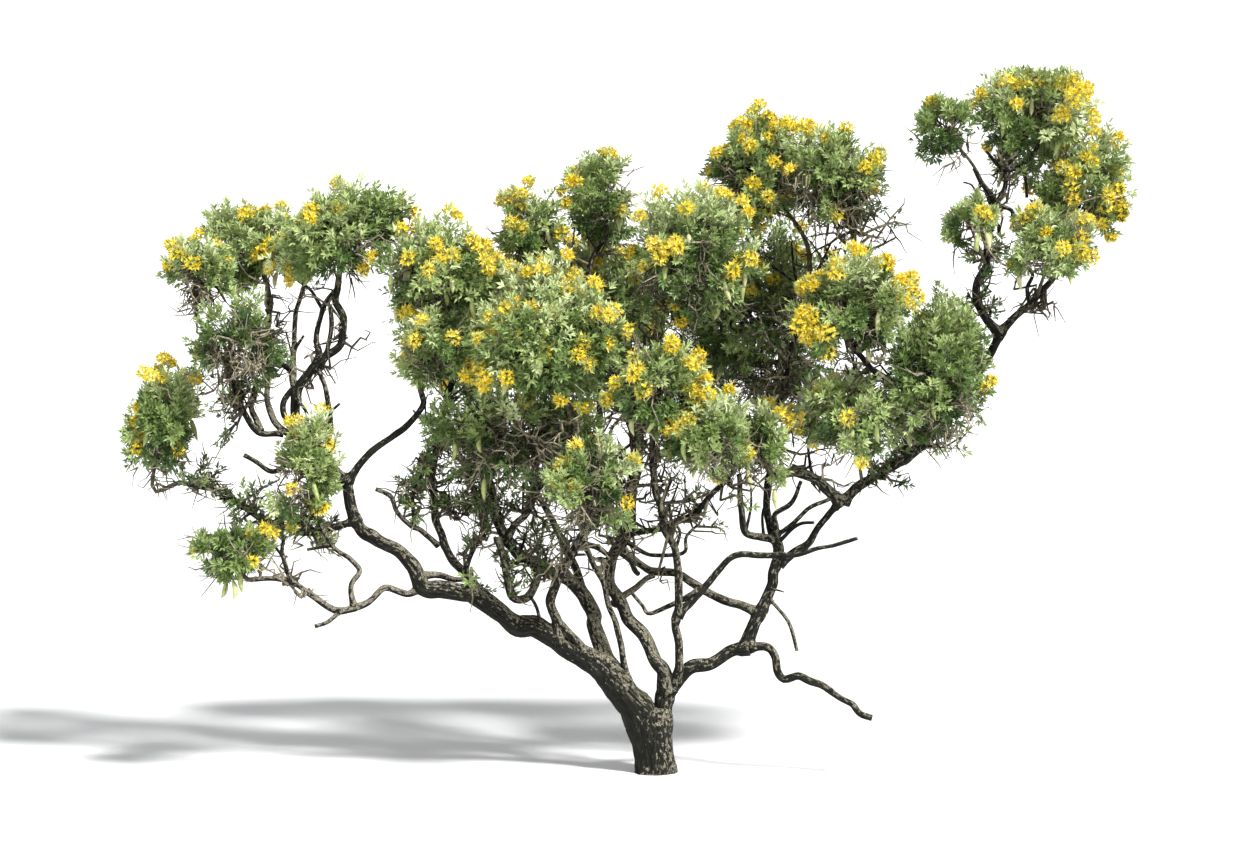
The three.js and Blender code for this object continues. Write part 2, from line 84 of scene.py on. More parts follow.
# Limbs.
COLLAR_SWELL = 0.22
COLLAR_REACH = 2.2
TRUNK = Named(ground=39, waist=38, fork=41, root_flare=0.16, flare_height=26, below=30, shoulder=88,
              shoulder_drop=0.28)
TRUNK_LEAN = ([0, -30, 0], [0, 0, 0], [-8, 62, 0], [-16, 126, 0])
BARK = Named(step=6.0, facet=3.4, sides=(10, 90), fissure=2.2, fissure_share=0.09, lumps=0.14)
LUMP_GRAIN = [16, 16, 34]
FISSURE_GRAIN = [4.2, 4.2, 30]
# How far on the grain starts from limb to limb: millimetres of relief and metres of colour.
GRAIN_SHIFT = Named(relief=97, colour=0.37)
GNARL = Named(length=42, share=1.25, start=40)
FILLET = Named(size=0.95, reach=5, swell=0.28)

# Masses of foliage: stem, twigs, branchlets that end in sprays, and the shoots of each spray.
STEM = Named(tip=2.4, past=0.2, first_twig=0.5, lead=15, side_root=4, rings=14, sides=7, bare_rings=6)
TWIG = Named(patch=41500, fewest=4, most=7, root=2.6, tip=1.5, reach=0.56, sway=7, rings=9, sides=5)
SPRAY = Named(patch=1500, scatter=0.1, node=0.6, inner_share=0.3, inner_reach=(0.55, 0.85), skirt=0.45,
              skirt_slope=0.6)
LOBES = Named(patch=6800, rise=0.3, edge=0.915, between=0.24, height=(0.77, 1.1), hollow=0.62, foot=0.8,
              top=0.98)
BRANCHLET = Named(root=1.7, tip=1.0, points=5, sag=0.08)
SHOOT = Named(count=6, spread=0.17, reach=(-0.18, 0.08), feet=(0.5, 1), lift=6, root=1.0, tip=0.6,
              points=3, sag=0.08)
FINE_SIDES = 3
TWIG_BEND = 0.09
INWARD_PULL = 0.35
UPTURN = 0.01
LIMB_CLEARANCE = 6

# Dry branching twigs, within the masses and along the limbs, and the places of the twig tints.
DARK_TWIG, YOUNG_TWIG, PALE_TWIG = range(3)
TANGLE = Named(count=36, root=2.0, tip=0.8, points=6, kink=6, sag=0.05, rise=-0.3, reach=(0.35, 0.95),
               tints=(DARK_TWIG, PALE_TWIG, PALE_TWIG))
# Leaves on limb twigs take only the first, shadiest leaf tints, as painted shade.
LIMB_TWIG = Named(root=4.6, tip=1.8, points=6, kink=10, sag=0.12, rise=0.8, lengths=(0.3, 1.1),
                  tints=(DARK_TWIG, DARK_TWIG, PALE_TWIG), leaf_tints=3)
SIDE_TWIG = Named(count=3, length=70, lengths=(0.4, 1.1), root=2.2, tip=0.9, points=4, kink=6, sag=0.1,
                  from_points=(2, 5), ahead=0.7, spread=0.6)

# How sunny a spray stands, which picks its leaves' tint as painted sunlight and shade, and how likely a
# lobe is to flower.
LEAF_SUN = Named(middle=0.5, up=0.28, out=0.6, out_from=0.8, shade=0.5, spread=0.14, shoot_spread=0.05)
BLOOM = Named(middle=0.78, up=0.26, back=0.12)

# Leaves, flowers and pods.
LEAF = Named(count=8, first=0.25, petiole=6, petioles=(0.6, 1.2), length=17.5, lengths=(0.7, 1.15),
             width=0.34)
# Each leaflet's turn from its leaf's heading, and its share of the leaf's length.
LEAFLETS = ((-0.72, 0.84), (0, 1), (0.72, 0.84))
LEAF_LEAN = Named(tip=0.45, foot=0.6, spread=0.15, lift=0.15)
LEAF_FACE = Named(along=0.8, up=0.45, spread=0.3)
FLOWER = Named(share=0.38, draw=80, lowest=-0.3, reach=0.86, count=17, dome=2.0, tilt=0.3, core=11,
               cores=(0.55, 1.15), sink=8, cap=0.945, heads=0.17, lift=1.08, rise=12, inset=16,
               sizes=(0.6, 1.05))
PETAL = Named(count=4, length=9, lengths=(0.8, 1.15), width=0.58, open=0.75, spread=0.2, tints=2)
STAMEN = Named(count=2, length=15, lengths=(0.7, 1.1), width=0.09, spread=0.3, tint=2)
POD = Named(share=0.045, outside=0.75, length=44, lengths=(0.7, 1.15), radius=5.2, beak=0.4, skew=0.85,
            fullness=0.8, bow=3, drift=0.2, turn=0.1, rings=7, sides=6)
STALK = Named(length=14, radius=0.7, rings=3, sides=3)
# A small blade folded along its middle: foot, left, tip and right points.
BLADE = np.array([[0, 0, 0], [0.56, 0.5, 0.1], [1, 0, -0.04], [0.56, -0.5, 0.1]])
BLADE_FACES = np.array([[0, 3, 2], [0, 2, 1]])

# The floor in metres: flat, then curving up to a gentle slope that the sun still lights.
FLOOR = Named(flat=9, curve=15, slope=math.radians(20), rim=46, steps=9, sides=96)

# Lights: power, place and aim in metres, and size, an angle for the sun and a width for the lamp.
SUN_LAMP = {"energy": 5.1, "position": (2.4, -2.9, 4.4), "target": (0, 0, 0.7), "size": 0.16}
FRONT_LAMP = {"energy": 40, "position": (-2.5, -4.0, 2.6), "target": (0, 0, 0.8), "size": 3.0}
SKY = {"Color": (0.93, 0.96, 1, 1), "Strength": 0.42}

# The most triangles in a piece, and how full a pile of leaves takes no further mass.
PIECE_TRIANGLES = 190000
FULL_PILE = 0.8


def linear(red, green, blue):
    """A colour given as 8-bit screen values, brought to light values by the standard screen curve."""
    shares = [value / 255 for value in (red, green, blue)]
    return (*[s / 12.92 if s <= 0.04045 else ((s + 0.055) / 1.055) ** 2.4 for s in shares], 1)


# Bark: noises over its grain, the stops of its colour ramps, and its relief.
BLACK = (0, 0, 0, 1)
WHITE = (1, 1, 1, 1)
BARK_FINISH = {"roughness": 0.9, "specular": 0.2}
BARK_BUMP = {"strength": 0.7, "distance": 0.0016}
BARK_DARK = linear(25, 25, 21)
STREAKS = {"scale": 320, "detail": 6, "stretch": (1, 1, 0.14)}
WOOD_STOPS = ((0.36, linear(12, 12, 10)), (0.5, BARK_DARK), (0.68, linear(42, 41, 34)))
PATCHES = {"scale": 210, "detail": 9, "stretch": (1, 1, 0.5)}
SPECKLES = {"scale": 620, "detail": 4}
LICHEN_STOPS = ((0.42, BARK_DARK), (0.58, linear(152, 146, 126)))
# The noise above which lichen starts on each bark, how far on it is full, and the side it favours. That
# side is the sunny one, so the pale coat there is partly lichen and partly painted sunlight, and the
# undersides stay dark as painted shade.
LICHEN_AND_SUN_STARTS = {"bark": 0.595, "pale_bark": 0.49}
LICHEN_AND_SUN_EDGE = 0.095
SUNNY_SIDE = (0.55, -0.15, 0.82)
SUNNY_SHARE = 0.2
DAMP = {"scale": 22, "detail": 4}
MOSS_STOPS = ((0.62, BLACK), (0.74, (0.7, 0.7, 0.7, 1)))
MOSS = linear(42, 50, 30)

# Living surfaces: each tint is mottled between two close colours.
# Leaf tints go from the shadiest to the sunniest, painted shade to painted sunlight, and the last petal
# tint is the stamens'.
LEAF_TINTS = [
    (linear(66, 90, 44), linear(82, 106, 56)),
    (linear(94, 119, 60), linear(111, 135, 73)),
    (linear(125, 147, 81), linear(141, 161, 95)),
    (linear(155, 172, 106), linear(170, 186, 122)),
    (linear(182, 195, 138), linear(199, 209, 158)),
]
PETAL_TINTS = [
    (linear(232, 206, 42), linear(240, 219, 74)),
    (linear(236, 213, 60), linear(244, 227, 102)),
    (linear(226, 207, 88), linear(238, 225, 134)),
]
POD_TINTS = [(linear(142, 156, 88), linear(172, 180, 118)), (linear(176, 178, 122), linear(200, 198, 150))]
TWIG_TINTS = [
    (linear(56, 51, 41), linear(96, 89, 72)),
    (linear(100, 96, 70), linear(132, 126, 92)),
    (linear(108, 101, 84), linear(168, 159, 134)),
]
SHOOT_TINTS = [(linear(112, 126, 76), linear(146, 152, 102))]
FINISHES = {
    "leaf": {"tints": LEAF_TINTS, "scale": 60, "roughness": 0.42, "specular": 0.5},
    "petal": {"tints": PETAL_TINTS, "scale": 90, "roughness": 0.5, "specular": 0.3},
    "pod": {"tints": POD_TINTS, "scale": 120, "roughness": 0.5, "specular": 0.3},
    "twig": {"tints": TWIG_TINTS, "scale": 140, "roughness": 0.8, "specular": 0.3},
    "shoot": {"tints": SHOOT_TINTS, "scale": 140, "roughness": 0.7, "specular": 0.3},
}
MOTTLE = Named(detail=3, low=0.38, high=0.62)
SKIN = Named(finer=9, detail=2)
SKIN_BUMP = {"strength": 0.25, "distance": 0.0005}
PAPER = {"scale": 3, "detail": 2}
PAPER_STOPS = ((0.3, (0.86, 0.86, 0.85, 1)), (0.7, (0.9, 0.9, 0.89, 1)))
PAPER_FINISH = {"roughness": 0.95, "specular": 0.1}


def limb(name, base, tip, *points, pale=False):
    return Named(name=name, base=base, tip=tip, points=points, pale=pale)


def mass(name, centre, half, lean, carrier, along, bend=None,
         leafy=1.0, blooms=1.0, shade=0.0, tangle=1.0, blend=0.14):
    return Named(name=name, centre=centre, half=half, lean=lean, carrier=carrier, along=along, bend=bend,
                 leafy=leafy, blooms=blooms, shade=shade, tangle=tangle, blend=blend)


# Limbs, each from its foot on the limb it grows from to its tip.
# A point is [across, up, depth] as seen by the viewer; base and tip are radii.
# Lichen covers more of a pale limb.
LIMBS = [
    limb("left_stem", 29, 10, [-14, 98, 0], [-116, 206, -15], [-278, 304, -45], [-362, 353, -55],
         [-440, 361, -65], [-504, 420, -72], [-560, 461, -80], [-607, 516, -80], [-622, 586, -75]),
    limb("right_stem", 16.5, 11, [6, 106, 0], [24, 160, 0], [64, 198, 0], [116, 226, 0], [192, 250, 0]),
    limb("right_stem_upper", 12.5, 11.6, [179, 247, 0], [198, 304, 5], [222, 358, 15], [248, 424, 30]),
    limb("central_stem", 14.5, 9, [24, 156, 0], [-17, 255, -6], [-59, 313, -4], [-86, 372, 4],
         [-80, 440, 14], [-54, 500, 20], [-44, 580, 25], [-36, 700, 15], [0, 850, -20], pale=True),
    limb("left_centre_stem", 18.5, 7.6, [-70, 172, -5], [-104, 244, 20], [-128, 320, 40], [-150, 366, 50],
         [-240, 416, 20], [-290, 450, 0], [-322, 510, -15], [-332, 570, -20], pale=True),
    limb("front_stem", 11, 6.5, [-196, 262, -32], [-206, 320, -60], [-200, 370, -90], [-170, 430, -115],
         [-136, 505, -130], [-146, 600, -140], [-172, 710, -150], pale=True),
    limb("upright_stem", 9, 7, [40, 176, -4], [42, 236, -30], [44, 370, -70], [36, 440, -90],
         [8, 524, -120], [-8, 636, -160], pale=True),
    limb("inner_left_limb", 9.5, 6, [-330, 338, -52], [-386, 398, -30], [-428, 456, -20], [-440, 520, -10],
         [-446, 600, -5], [-430, 690, 10], [-408, 800, 10], [-418, 890, -30]),
    limb("left_fork_limb", 8, 6, [-620, 580, -75], [-570, 636, -85], [-506, 688, -95], [-468, 734, -100],
         [-470, 756, -100]),
    limb("left_crown_limb", 11, 7, [-620, 578, -75], [-668, 626, -65], [-712, 674, -60], [-720, 750, -60],
         [-676, 816, -65], [-632, 858, -70], [-624, 900, -72], [-644, 938, -74], [-638, 974, -75]),
    limb("left_inner_limb", 7, 5, [-706, 664, -62], [-752, 684, -46], [-776, 750, -20], [-778, 834, 10],
         [-774, 950, 50], pale=True),
    limb("left_outer_limb", 6.4, 4.4, [-746, 676, -52], [-800, 682, -70], [-828, 722, -85],
         [-840, 770, -95], [-880, 850, -100], [-908, 900, -100]),
    limb("left_mid_branch", 7.5, 5.2, [-596, 505, -80], [-658, 486, -70], [-704, 478, -60],
         [-742, 486, -50], [-838, 536, -40], [-864, 562, -40], [-934, 574, -40]),
    limb("left_low_branch", 7.6, 5.4, [-470, 370, -68], [-500, 354, -82], [-546, 369, -100],
         [-572, 342, -120], [-636, 322, -140], [-690, 356, -150], [-732, 380, -150], [-800, 386, -150],
         pale=True),
    limb("cross_limb", 8.6, 4, [43, 310, -52], [90, 366, -45], [124, 404, -40], [154, 434, -36],
         [240, 432, -30], [328, 448, -40], [402, 470, -55]),
    limb("back_limb", 9.6, 6.4, [212, 316, 8], [124, 352, 50], [44, 394, 90], [-14, 402, 125],
         [-60, 440, 155], [-98, 560, 205], [-110, 736, 280], pale=True),
    limb("back_left_limb", 8.5, 6, [-134, 330, 42], [-178, 440, 90], [-262, 600, 160], [-338, 734, 230]),
    limb("centre_right_limb", 7.2, 5.5, [-58, 478, 18], [16, 492, -30], [74, 516, -60], [112, 556, -85],
         [146, 594, -105]),
    limb("top_limb", 7.2, 5, [-40, 660, 20], [-80, 770, 60], [-124, 870, 100], [-144, 960, 130],
         [-130, 1020, 145], [-106, 1064, 150]),
    limb("right_dead_branch", 9, 6.4, [188, 248, 0], [224, 248, -10], [241, 231, -20], [252, 182, -30],
         [288, 191, -40], [322, 177, -50], [358, 154, -56], [390, 139, -62], [412, 117, -66],
         [434, 106, -70]),
    limb("right_bough", 9, 6.4, [246, 416, 28], [300, 452, 30], [324, 490, 28], [374, 540, 20]),
    limb("arch_limb", 11.6, 10, [372, 536, 20], [340, 566, 0], [300, 589, -20], [252, 598, -36],
         pale=True),
    limb("right_long_limb", 10.4, 9, [374, 538, 20], [406, 572, 38], [448, 602, 62], [500, 624, 80],
         [548, 664, 80], [608, 740, 60], [656, 812, 30], [686, 880, 0]),
    limb("right_crook", 8, 5.4, [498, 622, 80], [492, 680, 40], [482, 730, 0], [474, 776, -30],
         [428, 812, -60], [396, 842, -80]),
    limb("far_right_limb", 9.6, 4.8, [686, 876, 0], [656, 918, -15], [640, 958, -25], [656, 1014, -20],
         [668, 1064, -5], [674, 1114, 10], [696, 1166, 20], [700, 1218, 20]),
    limb("far_right_outer_limb", 9, 5.4, [687, 878, 0], [728, 922, 15], [764, 954, 30], [798, 994, 45],
         [816, 1030, 50]),
    limb("right_centre_limb", 9, 6.6, [246, 418, 30], [232, 470, 60], [222, 540, 95], [230, 660, 130],
         [262, 800, 140], [292, 925, 130]),
    limb("right_bent_limb", 6.4, 4.4, [282, 884, 134], [336, 936, 112], [384, 982, 85], [416, 1028, 60],
         [394, 1056, 50], [394, 1084, 45], [368, 1110, 40]),
]

# Bare side branches, too slim to be parts of their own.
SPURS = [
    limb("dead_left", 5.6, 4.4, [-436, 452, -20], [-470, 486, -40], [-490, 494, -50], [-516, 520, -56],
         [-528, 551, -60], [-558, 566, -70], pale=True),
    limb("strip_left", 4.6, 3, [-484, 492, -48], [-488, 544, -56], [-482, 572, -60], [-464, 604, -64],
         [-468, 632, -66]),
    limb("strip_inner", 6, 3, [-382, 398, -31], [-363, 452, -38], [-348, 478, -42], [-352, 520, -46],
         [-359, 551, -48], [-372, 600, -50]),
    limb("strip_sprig", 3, 2, [-440, 538, -10], [-412, 524, -20], [-386, 516, -30]),
    limb("left_riser", 7.4, 3.6, [-718, 742, -60], [-726, 800, -40], [-726, 880, -25], [-722, 925, -10],
         [-700, 985, -10], [-684, 1050, -30], pale=True),
    limb("riser_link", 5.8, 4.6, [-727, 800, -40], [-764, 830, -10], [-788, 841, 8]),
    limb("riser_stub", 4, 3, [-726, 842, -30], [-704, 872, -30]),
    limb("left_thread", 3.2, 2, [-728, 690, -56], [-746, 738, -30], [-722, 790, -10], [-740, 880, 10],
         pale=True),
    limb("left_sprig", 6.2, 5.4, [-790, 682, -66], [-810, 742, -50], [-804, 772, -45], [-820, 830, -60],
         pale=True),
    limb("crown_twin", 7, 6.5, [-714, 664, -60], [-744, 704, -56], [-748, 740, -54], [-732, 762, -57],
         [-714, 776, -60]),
    limb("crown_loop", 6, 4.8, [-668, 628, -64], [-652, 670, -90], [-658, 748, -95], [-676, 806, -72]),
    limb("loop_stub", 3.6, 2.8, [-656, 716, -94], [-632, 736, -100]),
    limb("pale_twig", 4, 3.4, [-700, 676, -62], [-696, 714, -80], [-710, 738, -84], [-716, 760, -64],
         pale=True),
    limb("crown_riser", 6.2, 5, [-682, 800, -64], [-670, 834, -60], [-678, 864, -54], [-672, 906, -48],
         [-660, 944, -42], [-636, 974, -36]),
    limb("crown_fork", 4, 2.4, [-666, 926, -45], [-698, 970, -20], [-726, 994, 10], [-756, 1040, 50]),
    limb("crown_sprig", 5.4, 4.6, [-668, 814, -66], [-654, 854, -76], [-650, 894, -80], [-654, 934, -80]),
    limb("clump_stub", 6, 5, [-700, 660, -62], [-762, 604, -90], [-824, 634, -100]),
    limb("low_stub", 4.8, 3.8, [-630, 322, -138], [-660, 300, -148], [-684, 292, -154], pale=True),
    limb("low_riser", 6, 4.6, [-604, 330, -132], [-608, 368, -120], [-590, 404, -110], [-612, 426, -100],
         [-642, 446, -95], [-672, 496, -90], pale=True),
    limb("low_riser_stub", 4, 3, [-650, 454, -94], [-698, 446, -98]),
    limb("low_sprig", 5.2, 3.6, [-728, 376, -150], [-746, 436, -146], [-740, 472, -142]),
    limb("low_sprig_fork", 3.4, 2.4, [-744, 428, -146], [-764, 454, -150]),
    limb("stem_loop", 7, 5.6, [-474, 392, -68], [-436, 396, -62], [-402, 388, -45], [-376, 388, -34],
         pale=True),
    limb("loop_limb", 8.6, 8, [-236, 414, 20], [-242, 374, -10], [-266, 348, -25], [-286, 348, -30],
         [-296, 404, -34], [-306, 448, -34], [-320, 474, -30], pale=True),
    limb("inner_arm", 8.4, 5.6, [-304, 462, -5], [-260, 517, -34], [-230, 569, -46], [-208, 636, -60],
         pale=True),
    limb("front_brace", 8, 7, [-132, 224, -18], [-168, 270, -40], [-192, 300, -52], [-206, 320, -60],
         pale=True),
    limb("brace_stub", 4.6, 3.2, [-228, 280, -36], [-236, 328, -50], [-250, 352, -56]),
    limb("slim_stem", 7, 5.6, [-54, 180, 0], [-74, 260, -20], [-88, 322, -30], [-106, 378, -44],
         [-140, 442, -70], [-158, 468, -84], pale=True),
    limb("slim_link", 6, 5, [-152, 460, -80], [-102, 440, -40], [-82, 436, 12]),
    limb("centre_link", 7.2, 6.2, [-84, 336, 0], [-48, 362, 50], [-6, 395, 116], pale=True),
    limb("centre_spur", 6.4, 3.6, [84, 362, -46], [43, 343, -40], [9, 324, -30], [-18, 315, -26],
         [-28, 330, -24], [-50, 358, -20], pale=True),
    limb("centre_fork", 5, 3.2, [-60, 462, 16], [-22, 438, -20], [31, 436, -70], [58, 441, -92],
         [61, 468, -96], [83, 493, -100], pale=True),
    limb("centre_sprig", 4, 3, [36, 437, -74], [49, 480, -90], [43, 493, -94], pale=True),
    limb("centre_stub", 3.6, 3, [-44, 606, 24], [-98, 606, 8]),
    limb("back_link", 6.2, 5.2, [-82, 446, 16], [-61, 431, 60], [-34, 398, 132]),
    limb("hanging_right", 4.2, 3.8, [228, 346, 14], [268, 298, -10], [284, 240, -25], pale=True),
    limb("right_fan_main", 9, 5.6, [248, 430, 30], [240, 456, 26], [206, 471, 20], [178, 482, 10],
         [170, 522, 0], [163, 596, -20], pale=True),
    limb("right_fan_left", 3.6, 2.2, [180, 482, 11], [191, 530, 4], [189, 566, -6], pale=True),
    limb("right_fan_mid", 7.4, 4, [243, 450, 27], [236, 490, 24], [236, 514, 18], [270, 538, 4],
         [292, 580, -14], pale=True),
    limb("right_fan_thin", 3.6, 2.2, [216, 467, 22], [212, 514, 34], [220, 542, 30]),
    limb("right_fan_out", 5, 4.2, [239, 470, 25], [286, 506, 10], [324, 538, 5], [352, 550, 10],
         pale=True),
    limb("right_fan_tip", 4.4, 3.4, [242, 458, 26], [286, 494, 0], [314, 497, -20]),
    limb("right_splinter", 3, 1.6, [226, 366, 6], [240, 364, -10], [256, 360, -16]),
    limb("arch_riser", 3.6, 2.2, [318, 582, -12], [306, 620, 0], [312, 700, 30], [330, 780, 60]),
    limb("bent_fan_left", 4, 2.6, [290, 914, 130], [294, 960, 126], [259, 995, 118], [236, 1010, 110]),
    limb("bent_fan_mid", 4, 2.4, [293, 950, 127], [277, 1007, 120], [271, 1062, 118]),
    limb("bent_fan_right", 4, 2.4, [292, 930, 129], [303, 963, 120], [330, 1013, 100], [350, 1060, 92]),
    limb("bent_fan_tip", 3, 2, [330, 1013, 100], [330, 1027, 100], [309, 1062, 104]),
    limb("far_right_fork", 6.6, 4.6, [672, 1104, 6], [676, 1138, -4], [656, 1176, -14], [634, 1206, -24]),
    limb("far_right_twin", 5, 3.4, [684, 1134, 12], [714, 1122, 16], [716, 1100, 20], [740, 1084, 26]),
    limb("far_right_prong_1", 6, 4.4, [698, 1200, 20], [714, 1234, 24], [718, 1260, 26]),
    limb("far_right_prong_2", 6, 4.6, [699, 1204, 20], [733, 1214, 28], [752, 1230, 34], [767, 1256, 40]),
    limb("far_right_prong_3", 4.4, 3, [698, 1204, 20], [679, 1218, 14], [660, 1241, 8]),
    limb("far_right_drop", 4.8, 3.6, [733, 1214, 28], [740, 1184, 30], [740, 1150, 34]),
    limb("far_right_sprig", 3.4, 2, [652, 1182, -16], [641, 1161, -20], [630, 1176, -24], [614, 1180, -28]),
    limb("far_right_riser", 5, 3.4, [748, 940, 24], [742, 970, 20], [752, 996, 14], [717, 1019, 6]),
    limb("far_right_side", 5.4, 3.6, [770, 962, 34], [806, 1000, 10], [829, 1027, -10]),
]

# Masses: centre as seen, half-sizes across, in depth and up, the lean of its long axis in
# degrees, the limb that carries it, how far along that limb its stem starts, and a bend.
# Then how leafy it is, how much it flowers, how much painted shade darkens its leaves, how many dry
# twigs it holds, and how far it runs into its neighbours.
MASSES = [
    mass("far_left_foliage", [-982, 682, -40], [76, 90, 136], 8, "left_mid_branch", 1, [-1004, 562, -40],
         blooms=0.9, shade=0.15),
    mass("left_outer_foliage", [-914, 984, -100], [68, 82, 82], 0, "left_outer_limb", 1),
    mass("left_top_foliage", [-808, 1042, 100], [112, 112, 88], 0, "left_inner_limb", 1, blooms=1.1),
    mass("left_crown_foliage", [-626, 1066, -75], [142, 118, 96], -22, "left_crown_limb", 1, blooms=0.9),
    mass("left_inner_foliage", [-832, 860, -150], [106, 90, 100], 0, "left_outer_limb", 0.5,
         leafy=0.6, blooms=0.3, shade=0.55, tangle=2, blend=0),
    mass("left_clump_foliage", [-706, 594, -140], [78, 80, 116], 8, "left_crown_limb", 0.14, blooms=0.45),
    mass("left_low_foliage", [-850, 440, -150], [88, 84, 62], 0, "left_low_branch", 1, leafy=0.8),
    mass("centre_left_top_foliage", [-442, 984, -110], [130, 124, 108], 0, "inner_left_limb", 1),
    mass("centre_left_foliage", [-428, 850, -130], [90, 120, 96], 0, "left_fork_limb", 1),
    mass("top_left_foliage", [-256, 1074, 90], [76, 92, 84], 20, "top_limb", 0.7, blooms=0.7, blend=0),
    mass("top_foliage", [-106, 1144, 160], [86, 100, 92], 0, "top_limb", 1, blend=0),
    mass("centre_foliage", [-212, 858, -190], [156, 134, 140], 0, "front_stem", 1, leafy=1.1, blooms=0.9),
    mass("lower_centre_foliage", [-284, 668, -90], [186, 115, 106], 0, "left_centre_stem", 1,
         leafy=0.6, blooms=0.2, shade=0.4, tangle=3.5),
    mass("low_clump_foliage", [-134, 566, -235], [94, 80, 106], 0, "front_stem", 0.56,
         leafy=0.8, blooms=0.6, shade=0.1, tangle=2),
    mass("centre_right_foliage", [-2, 764, -210], [94, 108, 116], 0, "upright_stem", 1,
         blooms=1.4, tangle=2),
    mass("lower_right_foliage", [108, 662, -200], [102, 104, 98], 0, "centre_right_limb", 1, blooms=1.9),
    mass("arch_foliage", [196, 652, -60], [70, 86, 92], 0, "arch_limb", 1, leafy=0.8, blooms=0.8),
    mass("upper_centre_foliage", [68, 1014, -60], [128, 124, 144], 0, "central_stem", 1,
         leafy=0.8, blooms=0.8, shade=0.2, tangle=4),
    mass("top_right_foliage", [196, 1194, 110], [96, 112, 124], 28, "right_centre_limb", 1,
         [304, 1050, 116], blooms=1.4, blend=0, tangle=2.5),
    mass("right_crown_foliage", [346, 1184, 30], [110, 108, 112], 0, "right_bent_limb", 1,
         leafy=0.85, blooms=1.3, blend=0, tangle=3),
    mass("mid_right_foliage", [398, 924, -110], [116, 100, 108], 0, "right_crook", 1, blooms=2.3),
    mass("right_low_foliage", [394, 708, -60], [118, 104, 102], 0, "right_long_limb", 0.12, leafy=0.8),
    mass("right_back_foliage", [566, 782, -60], [112, 105, 180], 6, "right_long_limb", 0.56,
         leafy=0.9, blooms=0.1, shade=0.3, tangle=2.5),
    mass("far_right_left_foliage", [580, 1278, -50], [74, 80, 74], 0, "far_right_limb", 0.72,
         [640, 1204, 0], blooms=0.6, shade=0.2, blend=0.02, tangle=0.4),
    mass("far_right_top_foliage", [750, 1298, 50], [112, 114, 128], 30, "far_right_limb", 1,
         blooms=2.0, blend=0.06, tangle=0.6),
    mass("far_right_outer_foliage", [850, 1146, 90], [98, 104, 128], 0, "far_right_outer_limb", 1,
         blooms=1.7, blend=0.06),
    mass("far_right_inner_foliage", [630, 1088, -70], [58, 72, 60], 0, "far_right_limb", 0.42,
         leafy=1.1, blooms=1.2, blend=0.02, tangle=0.2),
    mass("far_right_low_foliage", [796, 1048, -80], [98, 95, 84], 0, "far_right_outer_limb", 0.5,
         blooms=1.4),
    mass("back_left_foliage", [-372, 880, 290], [150, 140, 150], 0, "back_left_limb", 1, blooms=0.5),
    mass("back_centre_foliage", [-112, 896, 340], [150, 140, 158], 0, "back_limb", 1, blooms=0.5, tangle=2),
    mass("back_right_foliage", [206, 892, 310], [178, 140, 216], 0, "right_centre_limb", 0.5,
         [226, 730, 230], leafy=0.5, blooms=0.4, shade=0.35, tangle=6),
]

# Dry branching twigs along a limb, from one share of its length to another: how many, what share of
# them has leaves, and their length.
LIMB_TWIGS = [
    ("left_centre_stem", 0.5, 1.0, 30, 0.5, 110),
    ("front_stem", 0.3, 0.56, 14, 0.1, 80),
    ("front_stem", 0.52, 1.0, 20, 0.3, 120),
    ("central_stem", 0.52, 0.8, 26, 0.2, 140),
    ("central_stem", 0.8, 1.0, 26, 0.6, 160),
    ("upright_stem", 0.62, 1.0, 22, 0.2, 130),
    ("inner_left_limb", 0.4, 0.9, 26, 0.5, 110),
    ("back_limb", 0.5, 0.95, 22, 0.2, 150),
    ("back_left_limb", 0.4, 0.95, 22, 0.3, 150),
    ("centre_right_limb", 0.3, 1.0, 16, 0.2, 110),
    ("top_limb", 0.1, 1.0, 24, 0.2, 165),
    ("right_centre_limb", 0.32, 1.0, 48, 0.1, 165),
    ("right_bent_limb", 0.1, 1.0, 60, 0.3, 140),
    ("right_crook", 0.15, 1.0, 24, 0.1, 140),
    ("arch_limb", 0.5, 1.0, 6, 0, 120),
    ("right_long_limb", 0.1, 0.4, 16, 0.9, 85),
    ("right_long_limb", 0.4, 0.75, 22, 0.9, 85),
    ("far_right_limb", 0.1, 0.55, 18, 1.0, 65),
    ("far_right_limb", 0.5, 1.0, 12, 0.2, 80),
    ("far_right_outer_limb", 0.35, 1.0, 8, 0, 110),
    ("left_crown_limb", 0.45, 1.0, 12, 0, 90),
    ("left_inner_limb", 0.35, 1.0, 12, 0, 100),
    ("left_outer_limb", 0.3, 0.6, 14, 0.8, 90),
    ("left_outer_limb", 0.35, 1.0, 12, 0.1, 100),
    ("left_mid_branch", 0.2, 0.55, 26, 0.8, 70),
    ("left_low_branch", 0.6, 1.0, 6, 0, 90),
    ("strip_left", 0.1, 1.0, 20, 0.75, 58),
    ("strip_sprig", 0.1, 1.0, 9, 0.8, 45),
    ("strip_inner", 0.0, 1.0, 34, 0.6, 62),
    ("loop_limb", 0.4, 1.0, 8, 0.4, 60),
    ("inner_arm", 0.3, 1.0, 16, 0.5, 90),
    ("slim_stem", 0.7, 1.0, 4, 0.1, 80),
    ("left_mid_branch", 0.52, 0.74, 14, 0.9, 65),
    ("left_mid_branch", 0.9, 1.0, 10, 0.9, 70),
]


# Geometry of lines and spaces

def unit(vectors):
    return vectors / np.maximum(np.linalg.norm(vectors, axis=-1, keepdims=True), TINY)


def swung(first, second, turn):
    """A direction swung by a turn from a first one towards a second."""
    return first * np.cos(turn) + second * np.sin(turn)


def around(reach, angles, heights):
    """Points at a reach from an upright axis, at angles round it and at heights."""
    return np.stack(np.broadcast_arrays(reach * np.cos(angles), reach * np.sin(angles), heights), axis=-1)


def enlargement(depth):
    """How much larger a thing at this depth has to be to look its size from the viewer's place."""
    return 1 + depth / EYE.distance


